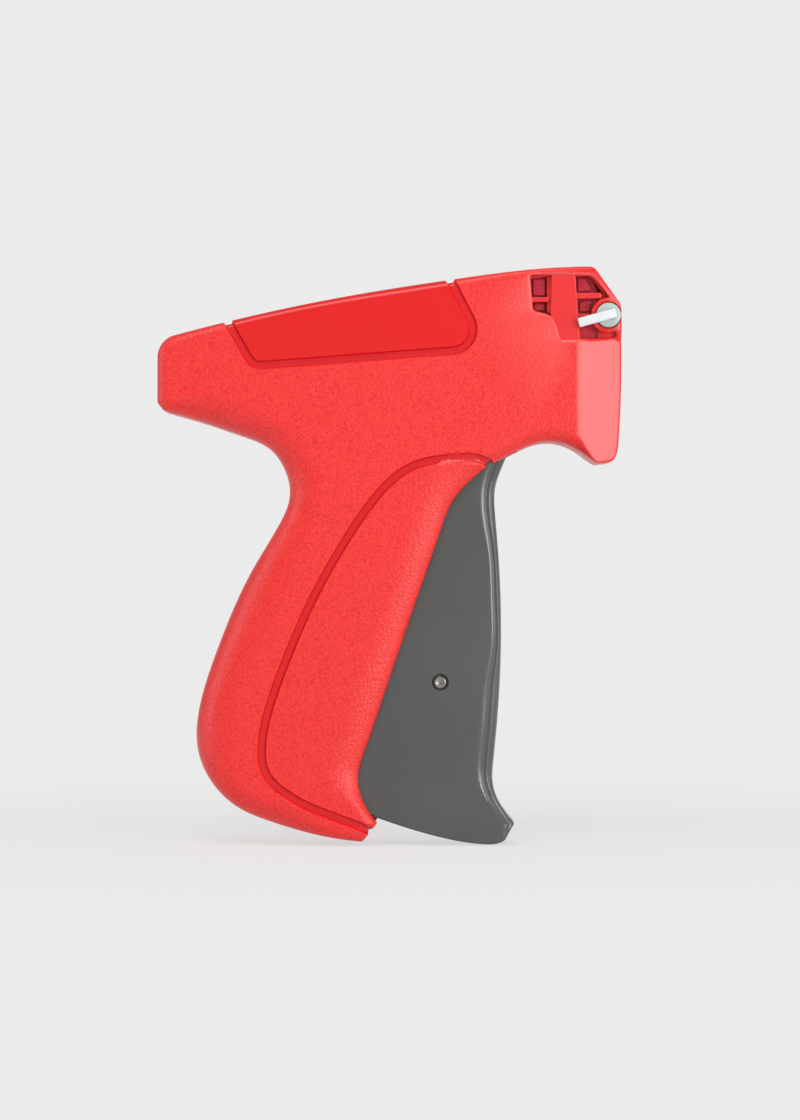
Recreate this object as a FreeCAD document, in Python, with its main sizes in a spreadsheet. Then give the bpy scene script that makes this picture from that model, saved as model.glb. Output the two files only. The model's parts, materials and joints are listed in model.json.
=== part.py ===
# Garment tag attacher: a hand tool that pushes plastic fasteners through a hollow needle.
# Millimetres. +X is where the needle points, +Z is up, -Y is the side with the lock lever.
# The origin is on the needle axis, at the front face of the nose.
import FreeCAD, Part
import math
import os
import Sketcher
from FreeCAD import Placement, Rotation, Vector

doc = FreeCAD.newDocument("tag_attacher")

# Driving lengths, in millimetres
LENGTHS = {
    # whole casing
    "body_length": 115.9,
    "body_height": 144.1,
    "body_thickness": 24.0,
    "wall": 2.0,
    "least_round": 0.4,
    "press_clearance": 0.01,
    "seat_clearance": 0.05,
    "run_clearance": 0.05,
    "sleeve_clearance": 0.1,
    "clamp_clearance": 0.15,
    "slide_clearance": 0.3,
    "overrun": 4.0,
    # width and depth of the rounding along each stretch of the outline
    "crown_round": 2.0,
    "crown_depth": 2.0,
    "lip_round": 1.0,
    "lip_depth": 1.0,
    "nose_round": 0.9,
    "nose_depth": 0.9,
    "beak_round": 3.5,
    "beak_depth": 3.0,
    "arch_round": 3.8,
    "arch_depth": 3.6,
    "strap_round": 6.5,
    "strap_depth": 2.4,
    "toe_round": 3.0,
    "toe_depth": 2.5,
    "heel_round": 7.0,
    "heel_depth": 6.0,
    "palm_round": 10.0,
    "palm_depth": 8.5,
    "web_round": 8.0,
    "web_depth": 7.0,
    "rear_round": 2.8,
    "rear_depth": 2.8,
    # grooves, nose taper and the way in for the fasteners
    "groove_width": 1.8,
    "groove_depth": 0.8,
    "panel_front_corner": 5.4,
    "panel_back_corner": 3.8,
    "nose_crease": 10.75,
    "nose_half_width": 8.6,
    "taper_drop": 3.0,
    "clip_front": 6.3,
    "clip_length": 9.2,
    "clip_width": 4.6,
    "clip_floor": 6.5,
    "filament_slit": 1.2,
    # solid nose block and window
    "nose_block_top": 9.0,
    "nose_block_drop": 6.0,
    "window_depth": 3.0,
    # needle seat
    "needle_bore_radius": 1.25,
    "seat_length": 5.7,
    "seat_near": 3.0,
    "seat_far": 3.5,
    "seat_top": 2.0,
    "seat_drop": 3.0,
    # knife
    "knife_side": 1.6,
    "knife_thickness": 0.5,
    "knife_length": 3.7,
    "knife_front": 2.0,
    "knife_top": 1.4,
    "knife_drop": 2.4,
    "knife_bevel": 0.9,
    # needle lock
    "knob_setback": 3.4,
    "knob_rise": 3.5,
    "knob_radius": 3.05,
    "knob_thickness": 1.9,
    "knob_face": 12.3,
    "knob_ring_radius": 4.3,
    "knob_bar_width": 2.3,
    "knob_bar_reach": 7.8,
    "knob_bar_height": 1.5,
    "knob_bar_heel": 1.9,
    "lock_shaft_radius": 1.1,
    "lock_lobe_radius": 1.4,
    "lock_lobe_length": 3.4,
    "lock_lobe_width": 2.0,
    "lock_shaft_end": 3.2,
    "clamp_length": 3.0,
    "clamp_width": 2.4,
    "clamp_thickness": 0.45,
    "clamp_gap": 0.15,
    "clamp_setback": 1.4,
    "clamp_lift_room": 0.4,
    "clamp_peg_radius": 0.35,
    # feed train
    "wheel_side": 4.5,
    "wheel_up": 2.5,
    "wheel_radius": 3.6,
    "wheel_root": 2.7,
    "wheel_notch": 0.9,
    "wheel_back": 15.9,
    "wheel_thickness": 4.3,
    "sleeve_radius": 1.9,
    "axle_radius": 1.0,
    "axle_setback": 4.9,
    "ratchet_radius": 4.2,
    "ratchet_root": 3.2,
    "ratchet_thickness": 1.8,
    "ratchet_back": 26.0,
    "ratchet_gap_root": 1.3,
    "ratchet_gap_tip": 1.7,
    "ratchet_overcut": 0.4,
    "axle_tail": 0.8,
    # carrier web for the feed train and the ejector rod
    "carrier_back": 22.0,
    "carrier_thickness": 3.0,
    "carrier_reach": 6.3,
    "carrier_top": 7.5,
    "carrier_drop": 9.0,
    "carrier_foot_top": 3.8,
    "bush_radius": 2.0,
    "bush_length": 4.2,
    # feed bar
    "bar_front": 23.2,
    "bar_length": 4.0,
    "bar_thickness": 0.8,
    "bar_top": 5.5,
    "bar_tail": 2.0,
    "nib_reach": 1.15,
    "nib_height": 0.7,
    "nib_rise": 1.165,
    "bar_slot_height": 1.8,
    "bar_slot_length": 2.8,
    "guide_rib": 0.8,
    "guide_rib_drop": 15.4,
    "detent_reach": 0.5,
    "detent_width": 0.9,
    "detent_thickness": 0.3,
    # tray behind the window
    "tray_back": 22.7,
    "tray_headroom": 3.4,
    "tray_margin": 2.1,
    "tray_wall": 0.8,
    "tray_floor": 7.5,
    "tray_rib": 1.0,
    "tray_rib_rise": 4.6,
    "tray_rib_face": 9.9,
    "tray_left_rib_end": 18.3,
    "tray_band_face": 11.6,
    # trigger
    "trigger_width": 17.0,
    "trigger_plate": 1.8,
    "trigger_front_wall": 2.6,
    "trigger_base_wall": 2.2,
    "trigger_front_round": 2.0,
    "slot_clearance": 0.5,
    "pivot_pin_radius": 1.5,
    "pivot_pin_length": 22.0,
    "pivot_boss_radius": 5.0,
    "link_pin_radius": 1.55,
    "link_ring_radius": 2.1,
    "link_ring_depth": 0.5,
    "finger_height": 4.0,
    "finger_pin_radius": 0.75,
    # drive lever
    "stroke": 38.0,
    "lever_thickness": 5.0,
    "lever_fulcrum_width": 8.0,
    "lever_head_radius": 2.1,
    "lever_foot_radius": 4.6,
    "lever_pin_radius": 1.6,
    "lever_pin_length": 12.6,
    "lever_head_drop": 4.65,
    "link_slot_clearance": 0.35,
    "head_pin_radius": 1.2,
    "head_pin_length": 11.8,
    "bracket_gap": 0.2,
    "bracket_tongue": 3.6,
    "bracket_back_reach": 39.0,
    "bracket_front_reach": 16.0,
    "bracket_half_height": 5.0,
    # slide, rod and buffer
    "slide_tail": 9.0,
    "slide_length": 17.0,
    "slide_half_width": 9.6,
    "slide_top": 2.4,
    "wing_thickness": 2.9,
    "cheek_outer": 6.0,
    "cheek_drop": 8.0,
    "notch_clearance": 0.35,
    "notch_top": 0.1,
    "head_room": 1.0,
    "rod_block_length": 3.2,
    "rod_block_drop": 2.5,
    "rod_radius": 0.5,
    "rod_anchor": 4.0,
    "rod_tip": 16.3,
    "rail_top": 0.7,
    "rail_thickness": 1.6,
    "rail_inner": 6.4,
    "rail_tail": 1.0,
    "stop_reach": 7.0,
    "stop_thickness": 2.2,
    "stop_drop": 9.0,
    "stop_top": 0.6,
    "buffer_half_width": 4.0,
    "buffer_drop": 6.0,
    # return spring
    "spring_radius": 3.9,
    "spring_wire": 1.2,
    "spring_seat_flange": 1.6,
    "spring_stub_radius": 2.6,
    "spring_stub_length": 4.0,
    "spring_block_length": 12.0,
    "spring_bracket_half": 6.0,
}

# Counts and angles in degrees
NUMBERS = {
    "round_steps": 4,
    "ratchet_teeth": 10,
    "wheel_notches": 10,
    "spring_turns": 9,
    "squeeze_angle": 15.0,
    "nib_angle": 18.0,
    "knob_bar_dip": 15.3,
}

sheet = doc.addObject("Spreadsheet::Sheet", "Sizes")
for row, (name, number) in enumerate(list(LENGTHS.items()) + list(NUMBERS.items()), start=1):
    sheet.set(f"A{row}", name)
    sheet.set(f"B{row}", str(number))
    sheet.setAlias(f"B{row}", name)
doc.recompute()


class Term:
    """A cell of the sheet, or a sum or product of cells: its number and its formula."""

    def __init__(self, number, formula):
        self.number = float(number)
        self.formula = formula

    def __float__(self):
        return self.number

    def __neg__(self):
        return Term(-self.number, f"-({self.formula})")

    def __add__(self, other):
        return Term(self.number + float(other), f"({self.formula} + {written(other)})")

    def __radd__(self, other):
        return Term(float(other) + self.number, f"({written(other)} + {self.formula})")

    def __sub__(self, other):
        return Term(self.number - float(other), f"({self.formula} - {written(other)})")

    def __rsub__(self, other):
        return Term(float(other) - self.number, f"({written(other)} - {self.formula})")

    def __mul__(self, other):
        return Term(self.number * float(other), f"({self.formula} * {written(other)})")

    def __rmul__(self, other):
        return Term(float(other) * self.number, f"({written(other)} * {self.formula})")

    def __truediv__(self, other):
        return Term(self.number / float(other), f"({self.formula} / {written(other)})")


def written(size):
    """The formula of a term, or a plain number as text."""
    return size.formula if isinstance(size, Term) else f"({float(size):.9f})"


class Sizes:
    """The sheet's cells as terms, by their alias."""

    def __getattr__(self, name):
        return Term(sheet.get(name), f"Sizes.{name}")


s = Sizes()
needle_share = 0.10826
needle_drop = s.body_height * needle_share
half_thickness = s.body_thickness / 2
inner_half = half_thickness - s.wall
trigger_half = s.trigger_width / 2
plate_inner = trigger_half - s.trigger_plate
lever_half = s.lever_thickness / 2


# Points of the side view. Each place is two shares: how far back from the nose face
# along the body length, and how far down from the top along the body height.

def at(back_share, down_share):
    return Vector(-s.body_length * back_share, 0, needle_drop - s.body_height * down_share)


def at_terms(back_share, down_share):
    return -s.body_length * back_share, needle_drop - s.body_height * down_share


# The casing outline, run by run, clockwise seen from the lock lever's side.
# Each point has its two shares and the rounding it gets. A run ends where the next begins.
casing_shares = [
    [(0.9698, 0.1195, "rear"), (0.8296, 0.0911, "crown"), (0.6052, 0.0529, "crown"),
     (0.3635, 0.0217, "crown"), (0.1737, 0.0035, "lip")],
    [(0.0602, 0.0, "lip")],
    [(0.0017, 0.0659, "nose"), (0.0, 0.1431, "nose"), (0.0032, 0.2645, "nose")],
    [(0.0069, 0.3114, "beak"), (0.0119, 0.3269, "beak"), (0.0196, 0.3355, "beak"),
     (0.0328, 0.3383, "beak")],
    [(0.0492, 0.3407, "beak"), (0.0634, 0.335, "arch"), (0.0986, 0.3151, "arch"),
     (0.1206, 0.3069, "arch"), (0.1512, 0.3021, "arch"), (0.1797, 0.3043, "arch"),
     (0.206, 0.3116, "arch"), (0.2302, 0.321, "arch")],
    [(0.2859, 0.3435, "arch"), (0.3247, 0.3686, "strap"), (0.3635, 0.405, "strap"),
     (0.3894, 0.4553, "strap"), (0.4434, 0.5802, "strap"), (0.5016, 0.7173, "strap"),
     (0.5534, 0.8387, "strap"), (0.5674, 0.8855, "strap"), (0.5556, 0.9254, "toe")],
    [(0.5254, 0.9618, "toe")],
    [(0.5577, 0.9945, "toe"), (0.6224, 0.988, "toe"), (0.7605, 0.9599, "heel"),
     (0.8197, 0.9398, "heel"), (0.8701, 0.9063, "heel"), (0.9152, 0.8335, "palm"),
     (0.9107, 0.7624, "palm"), (0.8727, 0.6635, "palm"), (0.7966, 0.5247, "palm"),
     (0.7366, 0.4432, "web"), (0.7155, 0.3981, "web"), (0.7254, 0.3513, "web"),
     (0.7605, 0.3129, "web"), (0.8209, 0.2904, "web"), (0.9072, 0.267, "web")],
    [(0.9857, 0.2484, "rear")],
    [(0.9989, 0.235, "rear")],
    [(0.9989, 0.1535, "rear"), (0.9907, 0.1345, "rear")],
]
window_shares = [
    (0.1973, 0.0149), (0.066, 0.016), (0.0078, 0.069), (0.0135, 0.1216), (0.1285, 0.1259),
    (0.1317, 0.1216), (0.1514, 0.0845), (0.1909, 0.0767),
]
# The name panel's groove is straight between its corners. Its two ends lie above the crown.
panel_corner_shares = [(0.3814, 0.0042), (0.2921, 0.1411), (0.7927, 0.1719), (0.8663, 0.0668)]
grip_groove_shares = [
    (0.2859, 0.34), (0.3247, 0.3304), (0.3722, 0.3313), (0.4326, 0.34), (0.4779, 0.3582),
    (0.5232, 0.3929), (0.5944, 0.4744), (0.6591, 0.5663), (0.7131, 0.6635), (0.7562, 0.7589),
    (0.7735, 0.8283), (0.7648, 0.8751), (0.726, 0.9081), (0.6483, 0.941), (0.5448, 0.974),
]
# Opening of the grip that the trigger moves in.
trigger_slot_shares = [
    (0.2233, 0.2923), (0.2233, 0.45), (0.16, 1.05), (0.5081, 0.9879), (0.5491, 0.9792),
    (0.5944, 0.9653), (0.6268, 0.9514),
    (0.6, 0.88), (0.575, 0.83), (0.5232, 0.7086), (0.465, 0.5715), (0.4089, 0.4484),
    (0.38, 0.3929), (0.342, 0.3547), (0.3074, 0.3252), (0.2945, 0.2923),
]
trigger_front_shares = [
    (0.2427, 0.32), (0.259, 0.3513), (0.2712, 0.3825), (0.2716, 0.4241), (0.2648, 0.49),
    (0.2591, 0.5768), (0.2583, 0.6548), (0.2619, 0.7329), (0.2683, 0.8023), (0.2757, 0.863),
    (0.2766, 0.8925), (0.2651, 0.9237), (0.2485, 0.9454), (0.229, 0.9644),
]
trigger_base_shares = [
    (0.2503, 0.993), (0.268, 0.999), (0.2945, 1.0), (0.3981, 0.9863), (0.5189, 0.9563),
    (0.5944, 0.9341),
]
trigger_back_shares = [
    (0.6009, 0.889), (0.5793, 0.8283), (0.5297, 0.7155), (0.4714, 0.5768), (0.4239, 0.4519),
    (0.3981, 0.3946), (0.3722, 0.3478), (0.3463, 0.2958),
]
trigger_pivot = at_terms(0.2945, 0.2472)
link_pin_place = at_terms(0.3905, 0.719)
fulcrum = at_terms(0.4833, 0.5282)
spring_seat_place = at_terms(0.7938, 0.7051)
knob_place = (-s.knob_setback, s.knob_rise)
band_shares = [
    (0.148, 0.0165), (0.0988, 0.0165), (0.0988, 0.07), (0.088, 0.1), (0.088, 0.1258),
    (0.1294, 0.1258), (0.1327, 0.0997), (0.148, 0.065),
]

roundings = {
    kind: (float(getattr(s, kind + "_round")), float(getattr(s, kind + "_depth")))
    for kind in ("crown", "lip", "nose", "beak", "arch", "strap", "toe", "heel", "palm", "web", "rear")
}

# Places that follow from those above

pivot_pin_half = s.pivot_pin_length / 2
lever_pin_half = s.lever_pin_length / 2
head_pin_half = s.head_pin_length / 2
lever_angle = 2 * math.degrees(math.atan2(float(s.stroke / 2), float(-s.lever_head_drop - fulcrum[1])))
head_place = (fulcrum[0] - s.stroke / 2, -s.lever_head_drop)
slide_back = head_place[0] - s.slide_tail
slide_front = slide_back + s.slide_length
stop_back = slide_back - s.stop_reach
rail_back = stop_back - s.rail_tail
rail_front = slide_front + s.stroke
bar_front = -s.bar_front
bar_back = bar_front - s.bar_length
finger_place = ((bar_front + bar_back) / 2, trigger_pivot[1])
wheel_half = s.wheel_radius + s.slide_clearance
tray_low = s.wheel_up - wheel_half - s.tray_margin
tray_top = needle_drop - s.tray_headroom
tray_front = -s.knob_setback - s.knob_ring_radius - s.seat_clearance


# Shapes made from points

def smooth(points):
    """One curve through the points: a line through two, a smooth curve through more."""
    if len(points) == 2:
        return Part.LineSegment(points[0], points[1])
    curve = Part.BSplineCurve()
    curve.interpolate(points)
    return curve


def right_hand(points):
    """Directions to the right of the way of travel, seen from the lock lever's side."""
    curve = smooth(points)
    tangents = [curve.tangent(curve.parameter(point))[0] for point in points]
    return [Vector(tangent.z, 0, -tangent.x) for tangent in tangents]


def ring_of(runs):
    """A closed wire of smooth runs, each run ending where the next begins."""
    return Part.Wire([smooth(run).toShape() for run in runs])


def prism(points, low, high):
    """A straight-sided block over a polygon of the side view, from y = low to y = high."""
    corners = [Vector(point.x, float(low), point.z) for point in points]
    face = Part.Face(Part.makePolygon(corners + corners[:1]))
    return face.extrude(Vector(0, float(high) - float(low), 0))


def ribbon(left, right, low, high):
    """A band between two lines of the side view, each a list of edges and its two ends."""
    (left_edges, left_start, left_end), (right_edges, right_start, right_end) = left, right
    ends = [Part.makeLine(left_start, right_start), Part.makeLine(left_end, right_end)]
    wire = Part.Wire(Part.sortEdges(left_edges + right_edges + ends)[0])
    wire.translate(Vector(0, float(low), 0))
    return Part.Face(wire).extrude(Vector(0, float(high) - float(low), 0))


def smooth_side(points, gap):
    """A smooth line of the side view moved to its right by a gap."""
    moved = [point + normal * gap for point, normal in zip(points, right_hand(points))]
    return [smooth(moved).toShape()], moved[0], moved[-1]


def cornered_side(corners, radii, gap):
    """A bent line moved to its right by a gap: straight runs joined by arcs that turn right."""
    legs = [(end - start).normalize() for start, end in zip(corners, corners[1:])]
    aside = [Vector(leg.z, 0, -leg.x) for leg in legs]
    here = corners[0] + aside[0] * gap
    start = here
    edges = []
    for index, radius in enumerate(radii):
        before, after = legs[index], legs[index + 1]
        reach = float(radius) * math.tan(before.getAngle(after) / 2)
        corner = corners[index + 1]
        arc_start = corner - before * reach
        arc_end = corner + after * reach
        centre = arc_start + aside[index] * float(radius)
        near_corner = (corner - centre).normalize() * (float(radius) - gap)
        first = arc_start + aside[index] * gap
        last = arc_end + aside[index + 1] * gap
        edges.append(Part.makeLine(here, first))
        edges.append(Part.Arc(first, centre + near_corner, last).toShape())
        here = last
    end = corners[-1] + aside[-1] * gap
    return edges + [Part.makeLine(here, end)], start, end


def block(low, high):
    """A box from its lowest to its highest corner."""
    low = Vector(*[float(value) for value in low])
    high = Vector(*[float(value) for value in high])
    size = high - low
    return Part.makeBox(size.x, size.y, size.z, low)


def bar_y(place, radius, low, high):
    """A round bar along Y, centred on a place of the side view."""
    start = Vector(float(place[0]), float(low), float(place[1]))
    return Part.makeCylinder(float(radius), float(high) - float(low), start, Vector(0, 1, 0))


def bar_x(side, up, radius, low, high):
    """A round bar along X, centred on y = side and z = up."""
    start = Vector(float(low), float(side), float(up))
    return Part.makeCylinder(float(radius), float(high) - float(low), start, Vector(1, 0, 0))


def outline_runs():
    """Points, inward directions and roundings of the casing outline, run by run."""
    runs = []
    for index, run in enumerate(casing_shares):
        following = casing_shares[(index + 1) % len(casing_shares)]
        marks = run + following[:1]
        points = [at(back, down) for back, down, kind in marks]
        runs.append((points, right_hand(points), [roundings[kind] for back, down, kind in marks]))
    for index, (points, inward, rounds) in enumerate(runs):
        before = runs[index - 1][1]
        mitre = (before[-1] + inward[0]) / (1 + before[-1].dot(inward[0]))
        before[-1] = mitre
        inward[0] = mitre
    return runs


def body_half(side, inset=0.0):
    """One half of the rounded body, from the mid plane out, drawn in all round by inset."""
    inset = float(inset)
    half = float(half_thickness) - inset
    least = float(s.least_round)
    steps = int(float(s.round_steps))
    sections = []
    for step in range(-1, steps + 1):
        angle = math.pi / 2 * max(step, 0) / steps
        edges = []
        for points, inward, rounds in outline_runs():
            moved = []
            for point, direction, (width, depth) in zip(points, inward, rounds):
                width = max(width - inset, least)
                depth = max(depth - inset, least)
                across = half - depth + depth * math.sin(angle) if step >= 0 else 0
                drawn_in = inset + width * (1 - math.cos(angle))
                moved.append(point + direction * drawn_in + Vector(0, side * across, 0))
            edges.append(smooth(moved).toShape())
        sections.append(Part.Wire(edges))
    shape = Part.makeLoft(sections, True, True)
    if shape.Volume < 0:
        shape.reverse()
    return shape


def mirrored(shape, side):
    """A shape drawn for the +Y half, turned over for the other one when side is -1."""
    if side > 0:
        return shape
    return shape.mirror(Vector(0, 0, 0), Vector(0, 1, 0))


def keep(name, shape, place=Placement()):
    """Put a shape in the document under its own name."""
    feature = doc.addObject("Part::Feature", name)
    feature.Shape = shape
    feature.Placement = place
    return feature


# Casing halves

def casing_solids(side):
    """What stands inside both halves: bosses, rails, brackets and the solid nose."""
    middle = 0
    nose_back = s.seat_length + s.seat_clearance
    nose = block((-nose_back, middle, -s.nose_block_drop),
                 (s.overrun, half_thickness, s.nose_block_top))
    lining = block((-s.nose_crease, s.nose_half_width - s.wall, -s.body_height),
                   (s.overrun, half_thickness, tray_low))
    carrier = block((-s.carrier_back, middle, -s.carrier_drop),
                    (-s.carrier_back + s.carrier_thickness, s.carrier_reach, s.carrier_top))
    carrier_foot = block((-s.carrier_back, middle, -s.carrier_drop),
                         (-s.carrier_back + s.carrier_thickness, half_thickness, -s.carrier_foot_top))
    rail = block((rail_back, s.rail_inner, -s.rail_top - s.rail_thickness),
                 (rail_front, half_thickness, -s.rail_top))
    stop = block((stop_back, middle, -s.stop_drop),
                 (stop_back + s.stop_thickness, half_thickness, s.stop_top))
    fulcrum_x, fulcrum_z = fulcrum
    bracket_back = fulcrum_x - s.bracket_back_reach
    tongue_low = lever_half + s.bracket_gap
    tongue_high = tongue_low + s.bracket_tongue
    bracket = block((bracket_back, tongue_low, fulcrum_z - s.bracket_half_height),
                    (fulcrum_x - s.bracket_front_reach, half_thickness, fulcrum_z + s.bracket_half_height))
    tongue = block((bracket_back, tongue_low, fulcrum_z - s.bracket_half_height),
                   (fulcrum_x, tongue_high, fulcrum_z + s.bracket_half_height))
    eye = bar_y(fulcrum, s.bracket_half_height, tongue_low, tongue_high)
    boss = bar_y(trigger_pivot, s.pivot_boss_radius, trigger_half + s.slide_clearance, half_thickness)
    seat_x, seat_z = spring_seat_place
    spring_block = block((seat_x - s.spring_block_length, middle, seat_z - s.spring_bracket_half),
                         (seat_x - s.spring_seat_flange, half_thickness, seat_z + s.spring_bracket_half))
    solids = [nose, lining, carrier, carrier_foot, rail, stop, bracket, tongue, eye, boss, spring_block]
    if side < 0:
        rib_x = bar_back - s.slide_clearance
        solids.append(block((rib_x - s.guide_rib, inner_half - s.bar_thickness - s.slide_clearance * 2,
                             -s.guide_rib_drop), (rib_x, half_thickness, s.bar_top)))
    return solids


def casing_holes():
    """What is cut through both halves, drawn across the whole thickness."""
    play = s.seat_clearance
    seat = block((-s.seat_length - play, -s.seat_near - play, -s.seat_drop - play),
                 (s.overrun, s.seat_far + play, s.seat_top + play))
    room_top = s.seat_top + s.clamp_thickness + s.clamp_lift_room
    clamp_room = block((-s.clamp_setback - s.clamp_length - play, -s.clamp_width / 2 - play, 0),
                       (-s.clamp_setback + play, s.clamp_width / 2 + play, room_top))
    lobe_room = bar_y(knob_place, s.lock_lobe_radius + s.slide_clearance,
                      -s.lock_lobe_length / 2 - play, s.lock_lobe_length / 2 + play)
    axle = bar_x(-s.wheel_side, s.wheel_up, s.axle_radius,
                 -s.ratchet_back - s.overrun, -s.axle_setback)
    sleeve = bar_x(-s.wheel_side, s.wheel_up, s.sleeve_radius + s.sleeve_clearance,
                   -s.carrier_back - s.overrun, -s.carrier_back + s.carrier_thickness + play)
    bush = bar_x(0, 0, s.bush_radius, -s.carrier_back - s.overrun,
                 -s.carrier_back + s.carrier_thickness + play)
    clip = block((-s.clip_front - s.clip_length, -s.clip_width / 2, s.clip_floor),
                 (-s.clip_front, s.clip_width / 2, needle_drop + s.overrun))
    slot_half = trigger_half + s.slot_clearance
    slot = prism([at(*share) for share in trigger_slot_shares], -slot_half, slot_half)
    pivot = bar_y(trigger_pivot, s.pivot_pin_radius + s.press_clearance, -pivot_pin_half, pivot_pin_half)
    lever_pin = bar_y(fulcrum, s.lever_pin_radius + s.press_clearance, -lever_pin_half, lever_pin_half)
    return [seat, clamp_room, lobe_room, axle, sleeve, bush, clip, slot, pivot, lever_pin]


def taper(side):
    """The wedge that narrows the nose, below the window on both halves."""
    top = s.taper_drop
    crease = Vector(-s.nose_crease, side * half_thickness, 0)
    front = Vector(s.overrun, 0, 0)
    slope = (half_thickness - s.nose_half_width) / s.nose_crease
    front.y = side * float(s.nose_half_width - slope * s.overrun)
    outside = Vector(s.overrun, side * float(half_thickness + s.overrun), 0)
    outside_back = Vector(-s.nose_crease, side * float(half_thickness + s.overrun), 0)
    face = Part.Face(Part.makePolygon([crease, front, outside, outside_back, crease]))
    face.translate(Vector(0, 0, -top))
    return face.extrude(Vector(0, 0, -s.body_height))


def casing(side):
    """One casing half, with its grooves, window and everything moulded into it."""
    outer = body_half(side)
    shell = outer.cut(body_half(side, s.wall))
    inside = [mirrored(solid, side) for solid in casing_solids(side)]
    shell = shell.fuse([solid.common(outer) for solid in inside])
    skin = outer.cut(body_half(side, s.groove_depth))
    reach = sorted((0, side * float(half_thickness)))
    gap = float(s.groove_width) / 2
    grip_line = [at(*share) for share in grip_groove_shares]
    panel_corners = [at(*share) for share in panel_corner_shares]
    corner_radii = (s.panel_front_corner, s.panel_back_corner)
    grooves = [
        ribbon(smooth_side(grip_line, -gap), smooth_side(grip_line, gap), *reach),
        ribbon(cornered_side(panel_corners, corner_radii, -gap),
               cornered_side(panel_corners, corner_radii, gap), *reach),
    ]
    shell = shell.cut([groove.common(skin) for groove in grooves])
    shell = shell.cut(casing_holes() + [taper(side)])
    if side < 0:
        floor = -half_thickness + s.window_depth
        window = prism([at(*share) for share in window_shares], -half_thickness - s.overrun, floor)
        shell = shell.cut(window)
        knob_back = -s.knob_face + s.knob_thickness + s.seat_clearance
        ring = bar_y(knob_place, s.knob_ring_radius, knob_back, floor)
        shell = shell.fuse(ring.common(outer))
        knob_room = bar_y(knob_place, s.knob_radius + s.slide_clearance,
                          -half_thickness - s.overrun, knob_back)
        shell = shell.cut(knob_room)
        lock = bar_y(knob_place, s.lock_shaft_radius + s.run_clearance, -half_thickness, 0)
        shell = shell.cut(lock)
    else:
        slit = block((-s.clip_front - s.clip_length, half_thickness - s.wall * 2, -s.filament_slit / 2),
                     (s.overrun, half_thickness + s.overrun, s.filament_slit / 2))
        tail = bar_y(knob_place, s.lock_shaft_radius + s.run_clearance, 0, s.lock_shaft_end)
        shell = shell.cut([slit, tail])
    return shell


keep("right_casing", casing(-1))
keep("left_casing", casing(1))


# Document objects bound to the sheet

def bind(thing, prop, size):
    """Tie a property to its formula in the sheet."""
    thing.setExpression(prop, written(size))


def box(name, low, high):
    """A box from its lowest to its highest corner."""
    thing = doc.addObject("Part::Box", name)
    for prop, letter, start, end in zip(("Length", "Width", "Height"), "xyz", low, high):
        bind(thing, prop, end - start)
        bind(thing, f"Placement.Base.{letter}", start)
    return thing


AXIS_TURNS = {
    "x": Rotation(Vector(0, 1, 0), 90),
    "y": Rotation(Vector(1, 0, 0), -90),
    "z": Rotation(),
}


def rod(name, letter, radius, low, high, place):
    """A round bar along an axis; place gives its two other coordinates."""
    thing = doc.addObject("Part::Cylinder", name)
    thing.Placement = Placement(Vector(), AXIS_TURNS[letter])
    bind(thing, "Radius", radius)
    bind(thing, "Height", high - low)
    corner = list(place)
    corner.insert("xyz".index(letter), low)
    for axis, value in zip("xyz", corner):
        bind(thing, f"Placement.Base.{axis}", value)
    return thing


def fused(name, things):
    """Several objects joined into one."""
    thing = doc.addObject("Part::MultiFuse", name)
    thing.Shapes = things
    return thing


def cut(name, base, *tools):
    """An object less one or more others."""
    thing = doc.addObject("Part::Cut", name)
    thing.Base = base
    thing.Tool = tools[0] if len(tools) == 1 else fused(name + "_cutters", list(tools))
    return thing


def body(name, place=(0, 0, 0), turn=Rotation()):
    """An empty body with its place bound to the sheet."""
    thing = doc.addObject("PartDesign::Body", name)
    thing.Placement = Placement(Vector(), turn)
    for letter, value in zip("xyz", place):
        bind(thing, f"Placement.Base.{letter}", value)
    return thing


def drawing(owner, role, offset, loops):
    """A sketch on a plane of the body: polygons as lists of corners, circles as (corner, radius)."""
    planes = [feature for feature in owner.Origin.OriginFeatures if feature.Role == role]
    sketch = owner.newObject("Sketcher::SketchObject", f"{owner.Name}_sketch")
    sketch.AttachmentSupport = [(planes[0], "")]
    sketch.MapMode = "FlatFace"
    bind(sketch, "AttachmentOffset.Base.z", offset)
    for loop in loops:
        first = len(sketch.Geometry)
        if isinstance(loop, tuple):
            (across, up), radius = loop
            circle = Part.Circle(Vector(across, up, 0), Vector(0, 0, 1), float(radius))
            sketch.addGeometry(circle)
            marks = [(first, 3, across, up)]
            number = sketch.addConstraint(Sketcher.Constraint("Radius", first, float(radius)))
            bind(sketch, f"Constraints[{number}]", radius)
        else:
            corners = [Vector(across, up, 0) for across, up in loop]
            for start, end in zip(corners, corners[1:] + corners[:1]):
                sketch.addGeometry(Part.LineSegment(start, end))
            count = len(loop)
            for index in range(count):
                joint = (first + index, 2, first + (index + 1) % count, 1)
                sketch.addConstraint(Sketcher.Constraint("Coincident", *joint))
            marks = [(first + index, 1, *corner) for index, corner in enumerate(loop)]
        for geometry, end, across, up in marks:
            for kind, value in (("DistanceX", across), ("DistanceY", up)):
                rule = Sketcher.Constraint(kind, -1, 1, geometry, end, float(value))
                bind(sketch, f"Constraints[{sketch.addConstraint(rule)}]", value)
    return sketch


def swept(owner, kind, role, loops, low, high):
    """A pad or a pocket of the loops, from low to high along the axis square to the plane."""
    along_y = role == "XZ_Plane"
    start = high if (kind == "Pad") == along_y else low
    sketch = drawing(owner, role, -start if along_y else start, loops)
    feature = owner.newObject(f"PartDesign::{kind}", f"{owner.Name}_{kind.lower()}")
    feature.Profile = sketch
    bind(feature, "Length", high - low)
    owner.Tip = feature
    return feature


def pad(owner, role, loops, low, high):
    return swept(owner, "Pad", role, loops, low, high)


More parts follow.
